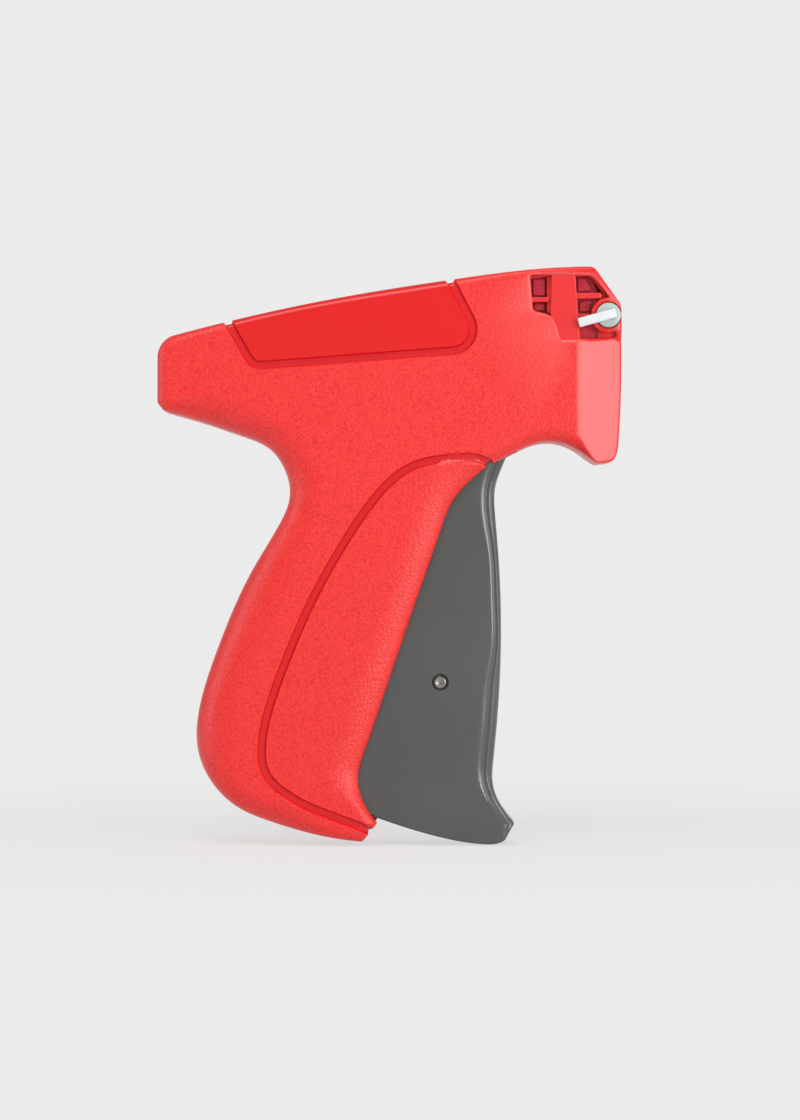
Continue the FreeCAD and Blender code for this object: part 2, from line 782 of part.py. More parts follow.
def pocket(owner, role, loops, low, high):
    return swept(owner, "Pocket", role, loops, low, high)


def around(owner, feature, role, count):
    """A feature repeated evenly round an axis of the body."""
    axis = [part for part in owner.Origin.OriginFeatures if part.Role == role][0]
    pattern = owner.newObject("PartDesign::PolarPattern", f"{owner.Name}_pattern")
    pattern.Originals = [feature]
    pattern.Axis = (axis, [""])
    pattern.Angle = 360
    bind(pattern, "Occurrences", count)
    owner.Tip = pattern
    return pattern


def rectangle(low, high):
    """The corners of a rectangle, from its lowest and highest corner."""
    return [(low[0], low[1]), (high[0], low[1]), (high[0], high[1]), (low[0], high[1])]


# Trigger

def rotated(place, centre, degrees):
    """A place of the side view turned about a centre, as a positive turn about +Y takes it."""
    angle = math.radians(float(degrees))
    across = float(place[0]) - float(centre[0])
    up = float(place[1]) - float(centre[1])
    return Vector(float(centre[0]) + across * math.cos(angle) + up * math.sin(angle), 0,
                  float(centre[1]) - across * math.sin(angle) + up * math.cos(angle))


def runs_along(edge, run):
    """Whether an edge goes between the ends of a run of the side view."""
    ends = [(point.x, point.z) for point in (run[0], run[-1])]
    corners = [(vertex.X, vertex.Z) for vertex in edge.Vertexes]
    gaps = [min(math.dist(end, corner) for corner in corners) for end in ends]
    return max(gaps) < float(s.press_clearance)


def trigger_shape():
    """A channel open at the back, with two side plates and a finger for the feed bar."""
    front = [at(*share) for share in trigger_front_shares]
    base = [at(*share) for share in trigger_base_shares]
    back = [at(*share) for share in trigger_back_shares]
    pivot = Vector(float(trigger_pivot[0]), 0, float(trigger_pivot[1]))
    top_back = pivot - Vector(s.pivot_boss_radius, 0, 0)
    top_front = pivot + Vector(s.pivot_boss_radius, 0, 0)
    outline = ring_of([front, [front[-1], base[0]], base, [base[-1], back[0]], back,
                       [back[-1], top_back], [top_back, top_front], [top_front, front[0]]])
    outline.translate(Vector(0, -trigger_half, 0))
    solid = Part.Face(outline).extrude(Vector(0, s.trigger_width, 0))
    rims = [edge for edge in solid.Edges if runs_along(edge, front)]
    solid = solid.makeFillet(float(s.trigger_front_round), rims)
    eye = bar_y(trigger_pivot, s.pivot_boss_radius, -trigger_half, trigger_half)
    solid = solid.fuse(eye)
    inner_front = [point + inward * float(s.trigger_front_wall)
                   for point, inward in zip(front, right_hand(front))][:-1]
    inner_base = [point + inward * float(s.trigger_base_wall)
                  for point, inward in zip(base, right_hand(base))][1:]
    over = Vector(-s.overrun * 2, 0, 0)
    inner_top = Vector(float(finger_place[0]) + float(s.finger_height), 0,
                       pivot.z + float(s.pivot_boss_radius + s.overrun))
    hollow = ring_of([inner_front, [inner_front[-1], inner_base[0]], inner_base,
                      [inner_base[-1], inner_base[-1] + over],
                      [inner_base[-1] + over, Vector(inner_base[-1].x, 0, inner_top.z) + over],
                      [Vector(inner_base[-1].x, 0, inner_top.z) + over, inner_top],
                      [inner_top, inner_front[0]]])
    hollow.translate(Vector(0, -plate_inner, 0))
    solid = solid.cut(Part.Face(hollow).extrude(Vector(0, plate_inner * 2, 0)))
    pivot_x, pivot_z = trigger_pivot
    finger = block((pivot_x, -trigger_half, pivot_z - s.finger_height / 2),
                   (finger_place[0], -plate_inner, pivot_z + s.finger_height / 2))
    finger_end = bar_y(finger_place, s.finger_height / 2, -trigger_half, -plate_inner)
    finger_pin = bar_y(finger_place, s.finger_pin_radius,
                       -inner_half + s.slide_clearance, -plate_inner)
    solid = solid.fuse([finger, finger_end, finger_pin])
    pivot_hole = bar_y(trigger_pivot, s.pivot_pin_radius + s.run_clearance,
                       -trigger_half - s.overrun, trigger_half + s.overrun)
    link_hole = bar_y(link_pin_place, s.link_pin_radius + s.press_clearance,
                      -trigger_half - s.overrun, trigger_half + s.overrun)
    rings = [bar_y(link_pin_place, s.link_ring_radius, *sorted((side * float(trigger_half - s.link_ring_depth),
                                                                side * float(trigger_half + s.overrun))))
             for side in (-1, 1)]
    return solid.cut([pivot_hole, link_hole] + rings)


keep("trigger", trigger_shape())
link_half = trigger_half - s.run_clearance
rod("link_pin", "y", s.link_pin_radius, -link_half, link_half, link_pin_place)
rod("trigger_pivot_pin", "y", s.pivot_pin_radius, -pivot_pin_half, pivot_pin_half, trigger_pivot)
rod("lever_pin", "y", s.lever_pin_radius, -lever_pin_half, lever_pin_half, fulcrum)


# Drive lever

link_ratio = lever_angle / float(s.squeeze_angle)


def link_track(turn_share):
    """Where the link pin lies in the lever, at a share of the trigger's full squeeze."""
    squeeze = float(s.squeeze_angle) * turn_share
    pin = rotated(link_pin_place, trigger_pivot, squeeze)
    return rotated((pin.x, pin.z), fulcrum, -squeeze * link_ratio)


def arc_slot(first, middle, last, half_width):
    """A curved slot of even width along the arc through three points."""
    centre = Part.Arc(first, middle, last).toShape().Curve.Center
    sides = []
    for offset in (-half_width, half_width):
        sides.append([point + (point - centre).normalize() * offset for point in (first, middle, last)])
    ends = []
    for point, neighbour in ((last, middle), (first, middle)):
        radial = (point - centre).normalize()
        onward = Vector(radial.z, 0, -radial.x)
        if onward.dot(point - neighbour) < 0:
            onward = -onward
        ends.append(point + onward * half_width)
    edges = [
        Part.Arc(*sides[0]).toShape(),
        Part.Arc(sides[0][2], ends[0], sides[1][2]).toShape(),
        Part.Arc(sides[1][2], sides[1][1], sides[1][0]).toShape(),
        Part.Arc(sides[1][0], ends[1], sides[0][0]).toShape(),
    ]
    wire = Part.Wire(edges)
    wire.translate(Vector(0, -lever_half - s.overrun, 0))
    return Part.Face(wire).extrude(Vector(0, s.lever_thickness + s.overrun * 2, 0))


def arm(start, start_width, end, end_width):
    """A tapered flat arm between two round ends."""
    start = Vector(float(start[0]), 0, float(start[1]))
    end = Vector(float(end[0]), 0, float(end[1]))
    along = (end - start).normalize()
    side = Vector(along.z, 0, -along.x)
    start_side = side * float(start_width)
    end_side = side * float(end_width)
    corners = [start - start_side, start + start_side, end + end_side, end - end_side]
    return prism(corners, -lever_half, lever_half)


def lever_shape():
    """The lever: a pinned head in the slide, an eye at the fulcrum and a slotted foot."""
    half_width = s.lever_fulcrum_width / 2
    track = [link_track(share) for share in (0, 0.5, 1)]
    foot = (link_pin_place[0], link_pin_place[1])
    upper_end = (track[2].x, track[2].z)
    pieces = [
        bar_y(fulcrum, half_width, -lever_half, lever_half),
        bar_y(foot, s.lever_foot_radius, -lever_half, lever_half),
        arm(head_place, s.lever_head_radius, fulcrum, half_width),
        arm(fulcrum, half_width, upper_end, s.lever_foot_radius),
        bar_y(upper_end, s.lever_foot_radius, -lever_half, lever_half),
        arm(upper_end, s.lever_foot_radius, foot, s.lever_foot_radius),
    ]
    solid = bar_y(head_place, s.lever_head_radius, -lever_half, lever_half).fuse(pieces)
    over = lever_half + s.overrun
    eye = bar_y(fulcrum, s.lever_pin_radius + s.run_clearance, -over, over)
    head = bar_y(head_place, s.head_pin_radius + s.press_clearance, -over, over)
    slot = arc_slot(*track, float(s.link_pin_radius + s.link_slot_clearance))
    return solid.cut([eye, head, slot])


keep("drive_lever", lever_shape())
rod("lever_head_pin", "y", s.head_pin_radius, -head_pin_half, head_pin_half, head_place)


# Slide and ejector rod

cheek_inner = lever_half + s.bracket_gap
wing_bottom = s.slide_top - s.wing_thickness
notch_half = s.head_pin_radius + s.notch_clearance
wings = box("slide_wings", (slide_back, -s.slide_half_width, wing_bottom),
            (slide_front, s.slide_half_width, s.slide_top))
near_cheek = box("slide_near_cheek", (slide_back, -s.cheek_outer, -s.cheek_drop),
                 (slide_front, -cheek_inner, wing_bottom))
far_cheek = box("slide_far_cheek", (slide_back, cheek_inner, -s.cheek_drop),
                (slide_front, s.cheek_outer, wing_bottom))
rod_block = box("slide_rod_block", (slide_front - s.rod_block_length, -cheek_inner, -s.rod_block_drop),
                (slide_front, cheek_inner, wing_bottom))
pin_notch = box("slide_pin_notch",
                (head_place[0] - notch_half, -s.cheek_outer - s.overrun, -s.cheek_drop - s.overrun),
                (head_place[0] + notch_half, s.cheek_outer + s.overrun, s.notch_top))
head_pocket = box("slide_head_pocket",
                  (head_place[0] - s.lever_head_radius - s.notch_clearance, -cheek_inner,
                   wing_bottom - s.overrun),
                  (head_place[0] + s.lever_head_radius + s.notch_clearance, cheek_inner, s.head_room))
rod_hole = rod("slide_rod_hole", "x", s.rod_radius + s.press_clearance,
               slide_front - s.rod_anchor, slide_front + s.overrun, (0, 0))
slide_blank = fused("slide_blank", [wings, near_cheek, far_cheek, rod_block])
cut("ejector_slide", slide_blank, pin_notch, head_pocket, rod_hole)
rod("ejector_rod", "x", s.rod_radius, slide_front - s.rod_anchor, -s.rod_tip, (0, 0))
box("rear_buffer", (stop_back + s.stop_thickness, -s.buffer_half_width, -s.buffer_drop),
    (slide_back - s.slide_clearance, s.buffer_half_width, s.stop_top))
bush_back = -s.carrier_back - (s.bush_length - s.carrier_thickness) / 2
bush_outer = rod("bush_outer", "x", s.bush_radius, bush_back, bush_back + s.bush_length, (0, 0))
bush_bore = rod("bush_bore", "x", s.rod_radius + s.run_clearance, bush_back - s.overrun,
                bush_back + s.bush_length + s.overrun, (0, 0))
cut("rod_guide", bush_outer, bush_bore)


# Return spring and its seat

spring_back, spring_z = spring_seat_place
track_end = link_track(1)
lower_lean = math.atan2(float(link_pin_place[0]) - track_end.x, track_end.z - float(link_pin_place[1]))
foot_edge = s.lever_foot_radius / math.cos(lower_lean)
foot_middle = link_pin_place[0] + (link_pin_place[1] - spring_z) * math.tan(lower_lean)
spring_front = foot_middle - foot_edge - s.slide_clearance


def spring_shape():
    """A round-wire coil spring along X, between its seat and the foot of the lever."""
    length = float(spring_front) - float(spring_back) - float(s.spring_wire)
    pitch = length / float(s.spring_turns)
    helix = Part.makeHelix(pitch, length, float(s.spring_radius))
    section = Part.makeCircle(float(s.spring_wire) / 2, Vector(s.spring_radius, 0, 0), Vector(0, 1, 0))
    print("spring gap between turns", round(pitch - float(s.spring_wire), 2))
    return Part.Wire(helix.Edges).makePipeShell([Part.Wire(section)], True, True)


spring_start = Vector(spring_back + s.spring_wire / 2, 0, spring_z)
keep("return_spring", spring_shape(), Placement(spring_start, AXIS_TURNS["x"]))
seat_place = (0, spring_z)
flange = rod("spring_flange", "x", s.spring_radius + s.spring_wire / 2,
             spring_back - s.spring_seat_flange, spring_back, seat_place)
stub = rod("spring_stub", "x", s.spring_stub_radius, spring_back, spring_back + s.spring_stub_length,
           seat_place)
fused("spring_seat", [flange, stub])


# Needle seat and knife

seat_back = -s.seat_length
knife_slot = s.press_clearance
clamp_top = knob_place[1] - s.lock_lobe_radius - s.clamp_gap
clamp_bottom = clamp_top - s.clamp_thickness
clamp_front = -s.clamp_setback
clamp_back = clamp_front - s.clamp_length
clamp_half = s.clamp_width / 2
seat = body("needle_seat")
pad(seat, "YZ_Plane", [rectangle((-s.seat_near, -s.seat_drop), (s.seat_far, s.seat_top))],
    seat_back, 0)
pocket(seat, "YZ_Plane", [((0, 0), s.needle_bore_radius)], seat_back - s.overrun, s.overrun)
pocket(seat, "YZ_Plane", [rectangle((0, -s.filament_slit / 2), (s.seat_far + s.overrun, s.filament_slit / 2))],
       seat_back - s.overrun, s.overrun)
pocket(seat, "XZ_Plane",
       [rectangle((clamp_back - s.clamp_clearance, clamp_bottom - s.press_clearance),
                  (clamp_front + s.clamp_clearance, s.seat_top + s.overrun))],
       -clamp_half - s.clamp_clearance, clamp_half + s.clamp_clearance)
peg_back = (clamp_front + clamp_back) / 2
pocket(seat, "XY_Plane", [((peg_back, 0), s.clamp_peg_radius + s.sleeve_clearance)],
       0, s.seat_top)
pocket(seat, "XZ_Plane",
       [rectangle((-s.knife_front - s.knife_length - s.overrun, -s.knife_drop - knife_slot),
                  (-s.knife_front + knife_slot, s.knife_top + knife_slot))],
       -s.knife_side - s.knife_thickness - knife_slot, -s.knife_side + knife_slot)

knife_tail = -s.knife_front - s.knife_length
blade = body("knife_blade")
pad(blade, "XZ_Plane",
    [[(knife_tail, -s.knife_drop), (-s.knife_front, -s.knife_drop), (-s.knife_front, s.knife_top),
      (knife_tail + s.knife_bevel, s.knife_top), (knife_tail, s.knife_top - s.knife_bevel)]],
    -s.knife_side - s.knife_thickness, -s.knife_side)

clamp = body("needle_clamp")
pad(clamp, "XZ_Plane", [rectangle((clamp_back, clamp_bottom), (clamp_front, clamp_top))],
    -clamp_half, clamp_half)
pad(clamp, "XY_Plane", [((peg_back, 0), s.clamp_peg_radius)], s.needle_bore_radius, clamp_bottom)


# Needle lock

bar_turn = Rotation(Vector(0, 1, 0), -float(s.knob_bar_dip))
knob = body("lock_lever", (knob_place[0], 0, knob_place[1]), bar_turn)
disc_inner = -s.knob_face + s.knob_thickness
bar_half = s.knob_bar_width / 2
pad(knob, "XZ_Plane", [((0, 0), s.knob_radius)], -s.knob_face, disc_inner)
pad(knob, "XZ_Plane", [rectangle((-s.knob_bar_reach, -bar_half), (s.knob_bar_heel, bar_half))],
    -s.knob_face - s.knob_bar_height, -s.knob_face)

shaft = rod("lock_shaft", "y", s.lock_shaft_radius, disc_inner, s.lock_shaft_end - s.slide_clearance,
            knob_place)
lobe_half = s.lock_lobe_length / 2
lobe_round = rod("lock_lobe_round", "y", s.lock_lobe_radius, -lobe_half, lobe_half, knob_place)
lobe_keep = box("lock_lobe_keep", (knob_place[0] - s.lock_lobe_width / 2, -lobe_half,
                                   knob_place[1] - s.lock_lobe_radius - s.overrun),
                (knob_place[0] + s.lock_lobe_width / 2, lobe_half, knob_place[1]))
lobe = doc.addObject("Part::Common", "lock_lobe")
lobe.Base = lobe_round
lobe.Tool = lobe_keep
fused("lock_cam", [shaft, lobe])


# Feed train

wheel_place = (-s.wheel_back, -s.wheel_side, s.wheel_up)
wheel = body("feed_wheel", wheel_place)
sleeve_length = s.ratchet_back - s.wheel_back
pad(wheel, "YZ_Plane", [((0, 0), s.wheel_radius)], 0, s.wheel_thickness)
pad(wheel, "YZ_Plane", [((0, 0), s.sleeve_radius)], -sleeve_length, 0)
pocket(wheel, "YZ_Plane", [((0, 0), s.axle_radius + s.run_clearance)],
       -sleeve_length - s.overrun, s.wheel_thickness + s.overrun)
notch_half_width = s.wheel_notch / 2
wheel_cut = pocket(wheel, "YZ_Plane",
                   [rectangle((s.wheel_root, -notch_half_width),
                              (s.wheel_radius + s.overrun, notch_half_width))],
                   -s.overrun, s.wheel_thickness + s.overrun)
around(wheel, wheel_cut, "X_Axis", s.wheel_notches)

ratchet = body("index_ratchet", (-s.ratchet_back, -s.wheel_side, s.wheel_up))
pad(ratchet, "YZ_Plane", [((0, 0), s.ratchet_radius)], 0, s.ratchet_thickness)
pocket(ratchet, "YZ_Plane", [((0, 0), s.sleeve_radius + s.press_clearance)],
       -s.overrun, s.ratchet_thickness + s.overrun)
gap_angle = math.radians(180 - float(s.nib_angle))


def gap_corner(radius, half_width):
    """A corner of the tooth gap that faces the nib, at a radius and to one side."""
    return (radius * math.cos(gap_angle) - half_width * math.sin(gap_angle),
            radius * math.sin(gap_angle) + half_width * math.cos(gap_angle))


tip_reach = s.ratchet_radius + s.ratchet_overcut
ratchet_cut = pocket(ratchet, "YZ_Plane",
                     [[gap_corner(s.ratchet_root, -s.ratchet_gap_root / 2),
                       gap_corner(tip_reach, -s.ratchet_gap_tip / 2),
                       gap_corner(tip_reach, s.ratchet_gap_tip / 2),
                       gap_corner(s.ratchet_root, s.ratchet_gap_root / 2)]],
                     -s.overrun, s.ratchet_thickness + s.overrun)
around(ratchet, ratchet_cut, "X_Axis", s.ratchet_teeth)

rod("feed_axle", "x", s.axle_radius, -s.ratchet_back - s.axle_tail, -s.axle_setback,
    (-s.wheel_side, s.wheel_up))

bar_face = inner_half - s.slide_clearance
nib_middle = s.wheel_up + s.nib_rise
finger_x, finger_z = finger_place
feed = body("feed_bar")
pad(feed, "XZ_Plane", [rectangle((bar_back, finger_z - s.bar_tail), (bar_front, s.bar_top))],
    -bar_face, -bar_face + s.bar_thickness)
pad(feed, "XZ_Plane",
    [rectangle((-s.ratchet_back, nib_middle - s.nib_height / 2),
               (-s.ratchet_back + s.ratchet_thickness, nib_middle + s.nib_height / 2))],
    -bar_face + s.bar_thickness, -bar_face + s.bar_thickness + s.nib_reach)
pocket(feed, "XZ_Plane",
       [rectangle((finger_x - s.bar_slot_length / 2, finger_z - s.bar_slot_height / 2),
                  (finger_x + s.bar_slot_length / 2, finger_z + s.bar_slot_height / 2))],
       -bar_face - s.overrun, -bar_face + s.bar_thickness)

leaf_bottom = s.wheel_up + s.ratchet_radius + s.slide_clearance
leaf_bump = s.wheel_up + s.ratchet_radius - s.detent_reach
leaf = body("detent_spring")
pad(leaf, "YZ_Plane",
    [[(-inner_half, leaf_bottom), (-s.wheel_side - s.detent_width, leaf_bottom),
      (-s.wheel_side, leaf_bump), (-s.wheel_side + s.detent_width, leaf_bottom),
      (-s.wheel_side + s.detent_width, leaf_bottom + s.detent_thickness),
      (-s.wheel_side, leaf_bump + s.detent_thickness),
      (-s.wheel_side - s.detent_width, leaf_bottom + s.detent_thickness),
      (-inner_half, leaf_bottom + s.detent_thickness)]],
    -s.ratchet_back, -s.ratchet_back + s.ratchet_thickness)


# Tray behind the window, which guides the fasteners past the wheel

tray_outer = box("tray_outer", (-s.tray_back, -inner_half, tray_low),
                 (tray_front, -s.tray_floor + s.tray_wall, tray_top))
tray_inside = box("tray_inside", (-s.tray_back + s.tray_wall, -inner_half - s.overrun, tray_low + s.tray_wall),
                  (tray_front - s.tray_wall, -s.tray_floor, tray_top - s.tray_wall))
wheel_slot = box("tray_wheel_slot", (-s.wheel_back - s.slide_clearance, -s.wheel_side - wheel_half,
                                     s.wheel_up - wheel_half),
                 (-s.wheel_back + s.wheel_thickness + s.slide_clearance, 0,
                  s.wheel_up + wheel_half))
tray_shell = cut("tray_shell", tray_outer, tray_inside)
band_prism = keep("tray_band", prism([at(*share) for share in band_shares],
                                     -s.tray_band_face, -s.tray_floor + s.tray_wall / 2))
window_prism = keep("tray_window", prism([at(*share) for share in window_shares],
                                         -half_thickness - s.overrun, -s.tray_floor + s.tray_wall))
rib_low = s.wheel_up + s.tray_rib_rise
left_rib = box("tray_left_rib", (-s.tray_back + s.tray_wall, -s.tray_rib_face, rib_low),
               (-s.tray_left_rib_end, -s.tray_floor, rib_low + s.tray_rib))
right_rib = box("tray_right_rib", (-s.wheel_back + s.wheel_thickness, -s.tray_rib_face, rib_low + s.tray_rib),
                (tray_front, -s.tray_floor, rib_low + s.tray_rib * 2))
band_inside = doc.addObject("Part::Common", "tray_band_trimmed")
band_inside.Base = band_prism
band_inside.Tool = window_prism
cut("feed_guide", fused("tray_blank", [tray_shell, band_inside, left_rib, right_rib]), wheel_slot)


# Check and write

NODES = [
    "right_casing", "left_casing", "feed_guide", "needle_seat", "knife_blade", "needle_clamp",
    "lock_lever", "lock_cam", "feed_wheel", "index_ratchet", "feed_axle", "feed_bar",
    "detent_spring", "rod_guide", "ejector_rod", "ejector_slide", "lever_head_pin", "drive_lever",
    "lever_pin", "link_pin", "trigger", "trigger_pivot_pin", "return_spring", "spring_seat",
    "rear_buffer",
]

doc.recompute()
for thing in doc.Objects:
    if {"Invalid", "Error"} & set(thing.State):
        raise SystemExit(f"{thing.Name} failed: {thing.State}")
os.makedirs("parts", exist_ok=True)
for name in NODES:
    node = doc.getObject(name)
    node.Label = name
    if node.Shape.isNull() or not node.Shape.isValid():
        raise SystemExit(f"{name} has no valid shape")
    print(name, len(node.Shape.Solids), "solid", round(node.Shape.Volume, 2))
    node.Shape.exportStep(f"parts/{name}.step")
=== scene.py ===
import json
import math

import bmesh
import bpy
import numpy as np
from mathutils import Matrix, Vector
from mathutils.geometry import delaunay_2d_cdt


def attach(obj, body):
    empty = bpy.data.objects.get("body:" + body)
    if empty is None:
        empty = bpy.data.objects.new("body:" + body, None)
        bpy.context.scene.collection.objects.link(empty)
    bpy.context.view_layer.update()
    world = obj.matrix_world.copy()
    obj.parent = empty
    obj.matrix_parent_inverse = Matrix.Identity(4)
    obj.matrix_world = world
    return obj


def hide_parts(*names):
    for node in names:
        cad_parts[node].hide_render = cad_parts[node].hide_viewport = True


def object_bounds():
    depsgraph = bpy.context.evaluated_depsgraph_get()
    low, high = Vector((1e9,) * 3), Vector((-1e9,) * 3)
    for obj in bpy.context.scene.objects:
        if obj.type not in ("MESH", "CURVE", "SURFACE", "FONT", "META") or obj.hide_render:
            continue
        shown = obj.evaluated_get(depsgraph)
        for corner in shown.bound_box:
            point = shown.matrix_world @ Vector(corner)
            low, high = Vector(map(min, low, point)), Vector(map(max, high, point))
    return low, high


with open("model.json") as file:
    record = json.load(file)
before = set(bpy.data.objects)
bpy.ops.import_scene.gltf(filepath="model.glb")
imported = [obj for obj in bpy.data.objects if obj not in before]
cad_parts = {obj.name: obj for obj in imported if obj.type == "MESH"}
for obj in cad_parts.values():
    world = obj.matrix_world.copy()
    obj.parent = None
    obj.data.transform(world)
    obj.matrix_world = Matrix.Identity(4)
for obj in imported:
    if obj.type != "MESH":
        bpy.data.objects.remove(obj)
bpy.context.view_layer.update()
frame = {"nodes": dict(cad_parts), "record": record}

MM = 0.001
NEAR = -1
FAR = 1

# Sizes that the pieces share with the frame
BODY_LENGTH = 115.9
BODY_HEIGHT = 144.1
NEEDLE_DROP = 15.6
HALF_THICKNESS = 12.0
SKIN = 1.6
SKIN_OVERLAP = 1.2
GROOVE_DEPTH = 0.8
GROOVE_HALF_WIDTH = 0.9
GROOVE_LIP = 0.25
PANEL_CORNER_RADII = (5.4, 3.8)
NOSE_CREASE = 11.2
NOSE_HALF_WIDTH = 8.6
TAPER_ROUND = 0.5
TRIGGER_HALF = 8.5
TRIGGER_PLATE = 1.8
TRIGGER_FRONT_WALL = 2.6
TRIGGER_BASE_WALL = 2.2
TRIGGER_SLOT_GAP = 0.5
PIVOT_BOSS_RADIUS = 5.0
PIVOT_BOSS_GAP = 1.5
KNOB_RADIUS = 3.05
KNOB_FACE = 12.3
KNOB_THICKNESS = 1.9
KNOB_EDGE = 0.2
KNOB_RING_RADIUS = 4.3
KNOB_POCKET_GAP = 0.3
KNOB_FLOOR_GAP = 0.05
LOCK_SHAFT_BORE = 1.15
KNOB_BAR_WIDTH = 2.3
KNOB_BAR_REACH = 7.8
KNOB_BAR_HEEL = 1.9
KNOB_BAR_DIP = 15.3
KNOB_BAR_RISE = 1.5
KNOB_BAR_SINK = 0.15
KNOB_BAR_BEVEL = 0.3
LINK_PIN_RADIUS = 1.55
LINK_PIN_GAP = 0.02
LINK_PIN_SETBACK = 0.05
LINK_RING_RADIUS = 2.1
FLAT_RIM = 0.35
LEAST_ROUND = 0.3
SEAM_BEVEL = 0.12
CORNER_ROUND = 1.1
SHARP_CORNER_ROUND = 0.45
WINDOW_CORNER = 1.0
PLATE_CORNER = 0.3
OVER = 4.0

# The photograph's frame is 800 by 1120 pixels, 4 of them a millimetre at the plane of the silhouettes
FRAME_WIDTH = 200.0
FRAME_PIXELS = (800, 1120)
CENTRE = (-55.27, 0.0, -57.45)
CAMERA_DISTANCE = 950.0
SCALE_PLANE = 7.0

# How finely curves are divided
STEP = 0.6
FINE_STEP = 0.22
LINE_STEP = 0.5
CORE_STEP = 1.5
ROUND_STEPS = 16
CORE_ROUND_STEPS = 5
LATHE_STEPS = 72
ROUGH_SAMPLES = 600

# Limits of the mesh work: places taken at a time, a gap in millimetres, two in metres, and an angle
BATCH = 2000
CAP_MARGIN = 0.12
MERGE_DISTANCE = 1e-6
THIN_EDGE = 2e-6
SHARP_DEGREES = 38.0


def place(back_share, down_share):
    """A place of the side view from its shares of the body's length and height."""
    return np.array([-BODY_LENGTH * back_share, NEEDLE_DROP - BODY_HEIGHT * down_share])


def places(shares):
    """Places of the side view from rows of shares."""
    return np.array([place(back, down) for back, down in shares])


CASING_SHARES = [
    [(0.9698, 0.1195, "rear"), (0.8296, 0.0911, "crown"), (0.6052, 0.0529, "crown"),
     (0.3635, 0.0217, "crown"), (0.1737, 0.0035, "lip")],
    [(0.0602, 0.0, "lip")],
    [(0.0017, 0.0659, "nose"), (0.0, 0.1431, "nose"), (0.0032, 0.2645, "nose")],
    [(0.0069, 0.3114, "beak"), (0.0119, 0.3269, "beak"), (0.0196, 0.3355, "beak"),
     (0.0328, 0.3383, "beak")],
    [(0.0492, 0.3407, "beak"), (0.0634, 0.335, "throat"), (0.0986, 0.3151, "arch"),
     (0.1206, 0.3069, "arch"), (0.1512, 0.3021, "arch"), (0.1797, 0.3043, "arch"),
     (0.206, 0.3116, "arch"), (0.2302, 0.321, "arch")],
    [(0.2859, 0.3435, "arch"), (0.3247, 0.3686, "strap"), (0.3635, 0.405, "strap"),
     (0.3894, 0.4553, "strap"), (0.4434, 0.5802, "strap"), (0.5016, 0.7173, "strap"),
     (0.5534, 0.8387, "strap"), (0.5674, 0.8855, "strap"), (0.5556, 0.9254, "toe")],
    [(0.5254, 0.9618, "toe")],
    [(0.5577, 0.9945, "toe"), (0.6224, 0.988, "toe"), (0.7605, 0.9599, "heel"),
     (0.8197, 0.9398, "heel"), (0.8701, 0.9063, "heel"), (0.9152, 0.8335, "palm"),
     (0.9107, 0.7624, "palm"), (0.8727, 0.6635, "palm"), (0.7966, 0.5247, "palm"),
     (0.7366, 0.4432, "web"), (0.7155, 0.3981, "web"), (0.7254, 0.3513, "web"),
     (0.7605, 0.3129, "web"), (0.8209, 0.2904, "web"), (0.9072, 0.267, "web")],
    [(0.9857, 0.2484, "rear")],
    [(0.9989, 0.235, "rear")],
    [(0.9989, 0.1535, "rear"), (0.9907, 0.1345, "rear")],
]
# Width and depth of the rounding along the outline, in millimetres
ROUNDINGS = {
    "crown": (2.0, 2.0),
    "lip": (1.0, 1.0),
    "nose": (0.9, 0.9),
    "beak": (1.6, 3.0),
    "throat": (2.2, 3.3),
    "arch": (3.8, 3.6),
    "strap": (8.3, 3.0),
    "toe": (3.0, 2.5),
    "heel": (7.0, 6.0),
    "palm": (10.0, 8.5),
    "web": (8.0, 7.0),
    "rear": (2.8, 2.8),
}
WINDOW_SHARES = [
    (0.1973, 0.0149), (0.066, 0.016), (0.0078, 0.069), (0.0135, 0.1216), (0.1285, 0.1259),
    (0.1325, 0.1221), (0.1379, 0.1031), (0.1486, 0.0867), (0.1647, 0.081), (0.1909, 0.0767),
]
PANEL_CORNER_SHARES = [(0.3814, 0.0042), (0.2921, 0.1411), (0.7927, 0.1719), (0.8663, 0.0668)]
GRIP_GROOVE_SHARES = [
    (0.2859, 0.34), (0.3247, 0.3304), (0.3722, 0.3313), (0.4326, 0.34), (0.4779, 0.3582),
    (0.5232, 0.3929), (0.5944, 0.4744), (0.6591, 0.5663), (0.7131, 0.6635), (0.7562, 0.7589),
    (0.7735, 0.8283), (0.7648, 0.8751), (0.726, 0.9081), (0.6483, 0.941), (0.5448, 0.974),
]
TRIGGER_SLOT_SHARES = [
    (0.2233, 0.2923), (0.2233, 0.45), (0.16, 1.05), (0.5081, 0.9879), (0.5491, 0.9792),
    (0.5944, 0.9653), (0.6268, 0.9514),
    (0.6, 0.88), (0.575, 0.83), (0.5232, 0.7086), (0.465, 0.5715), (0.4089, 0.4484),
    (0.38, 0.3929), (0.342, 0.3547), (0.3074, 0.3252), (0.2945, 0.2923),
]
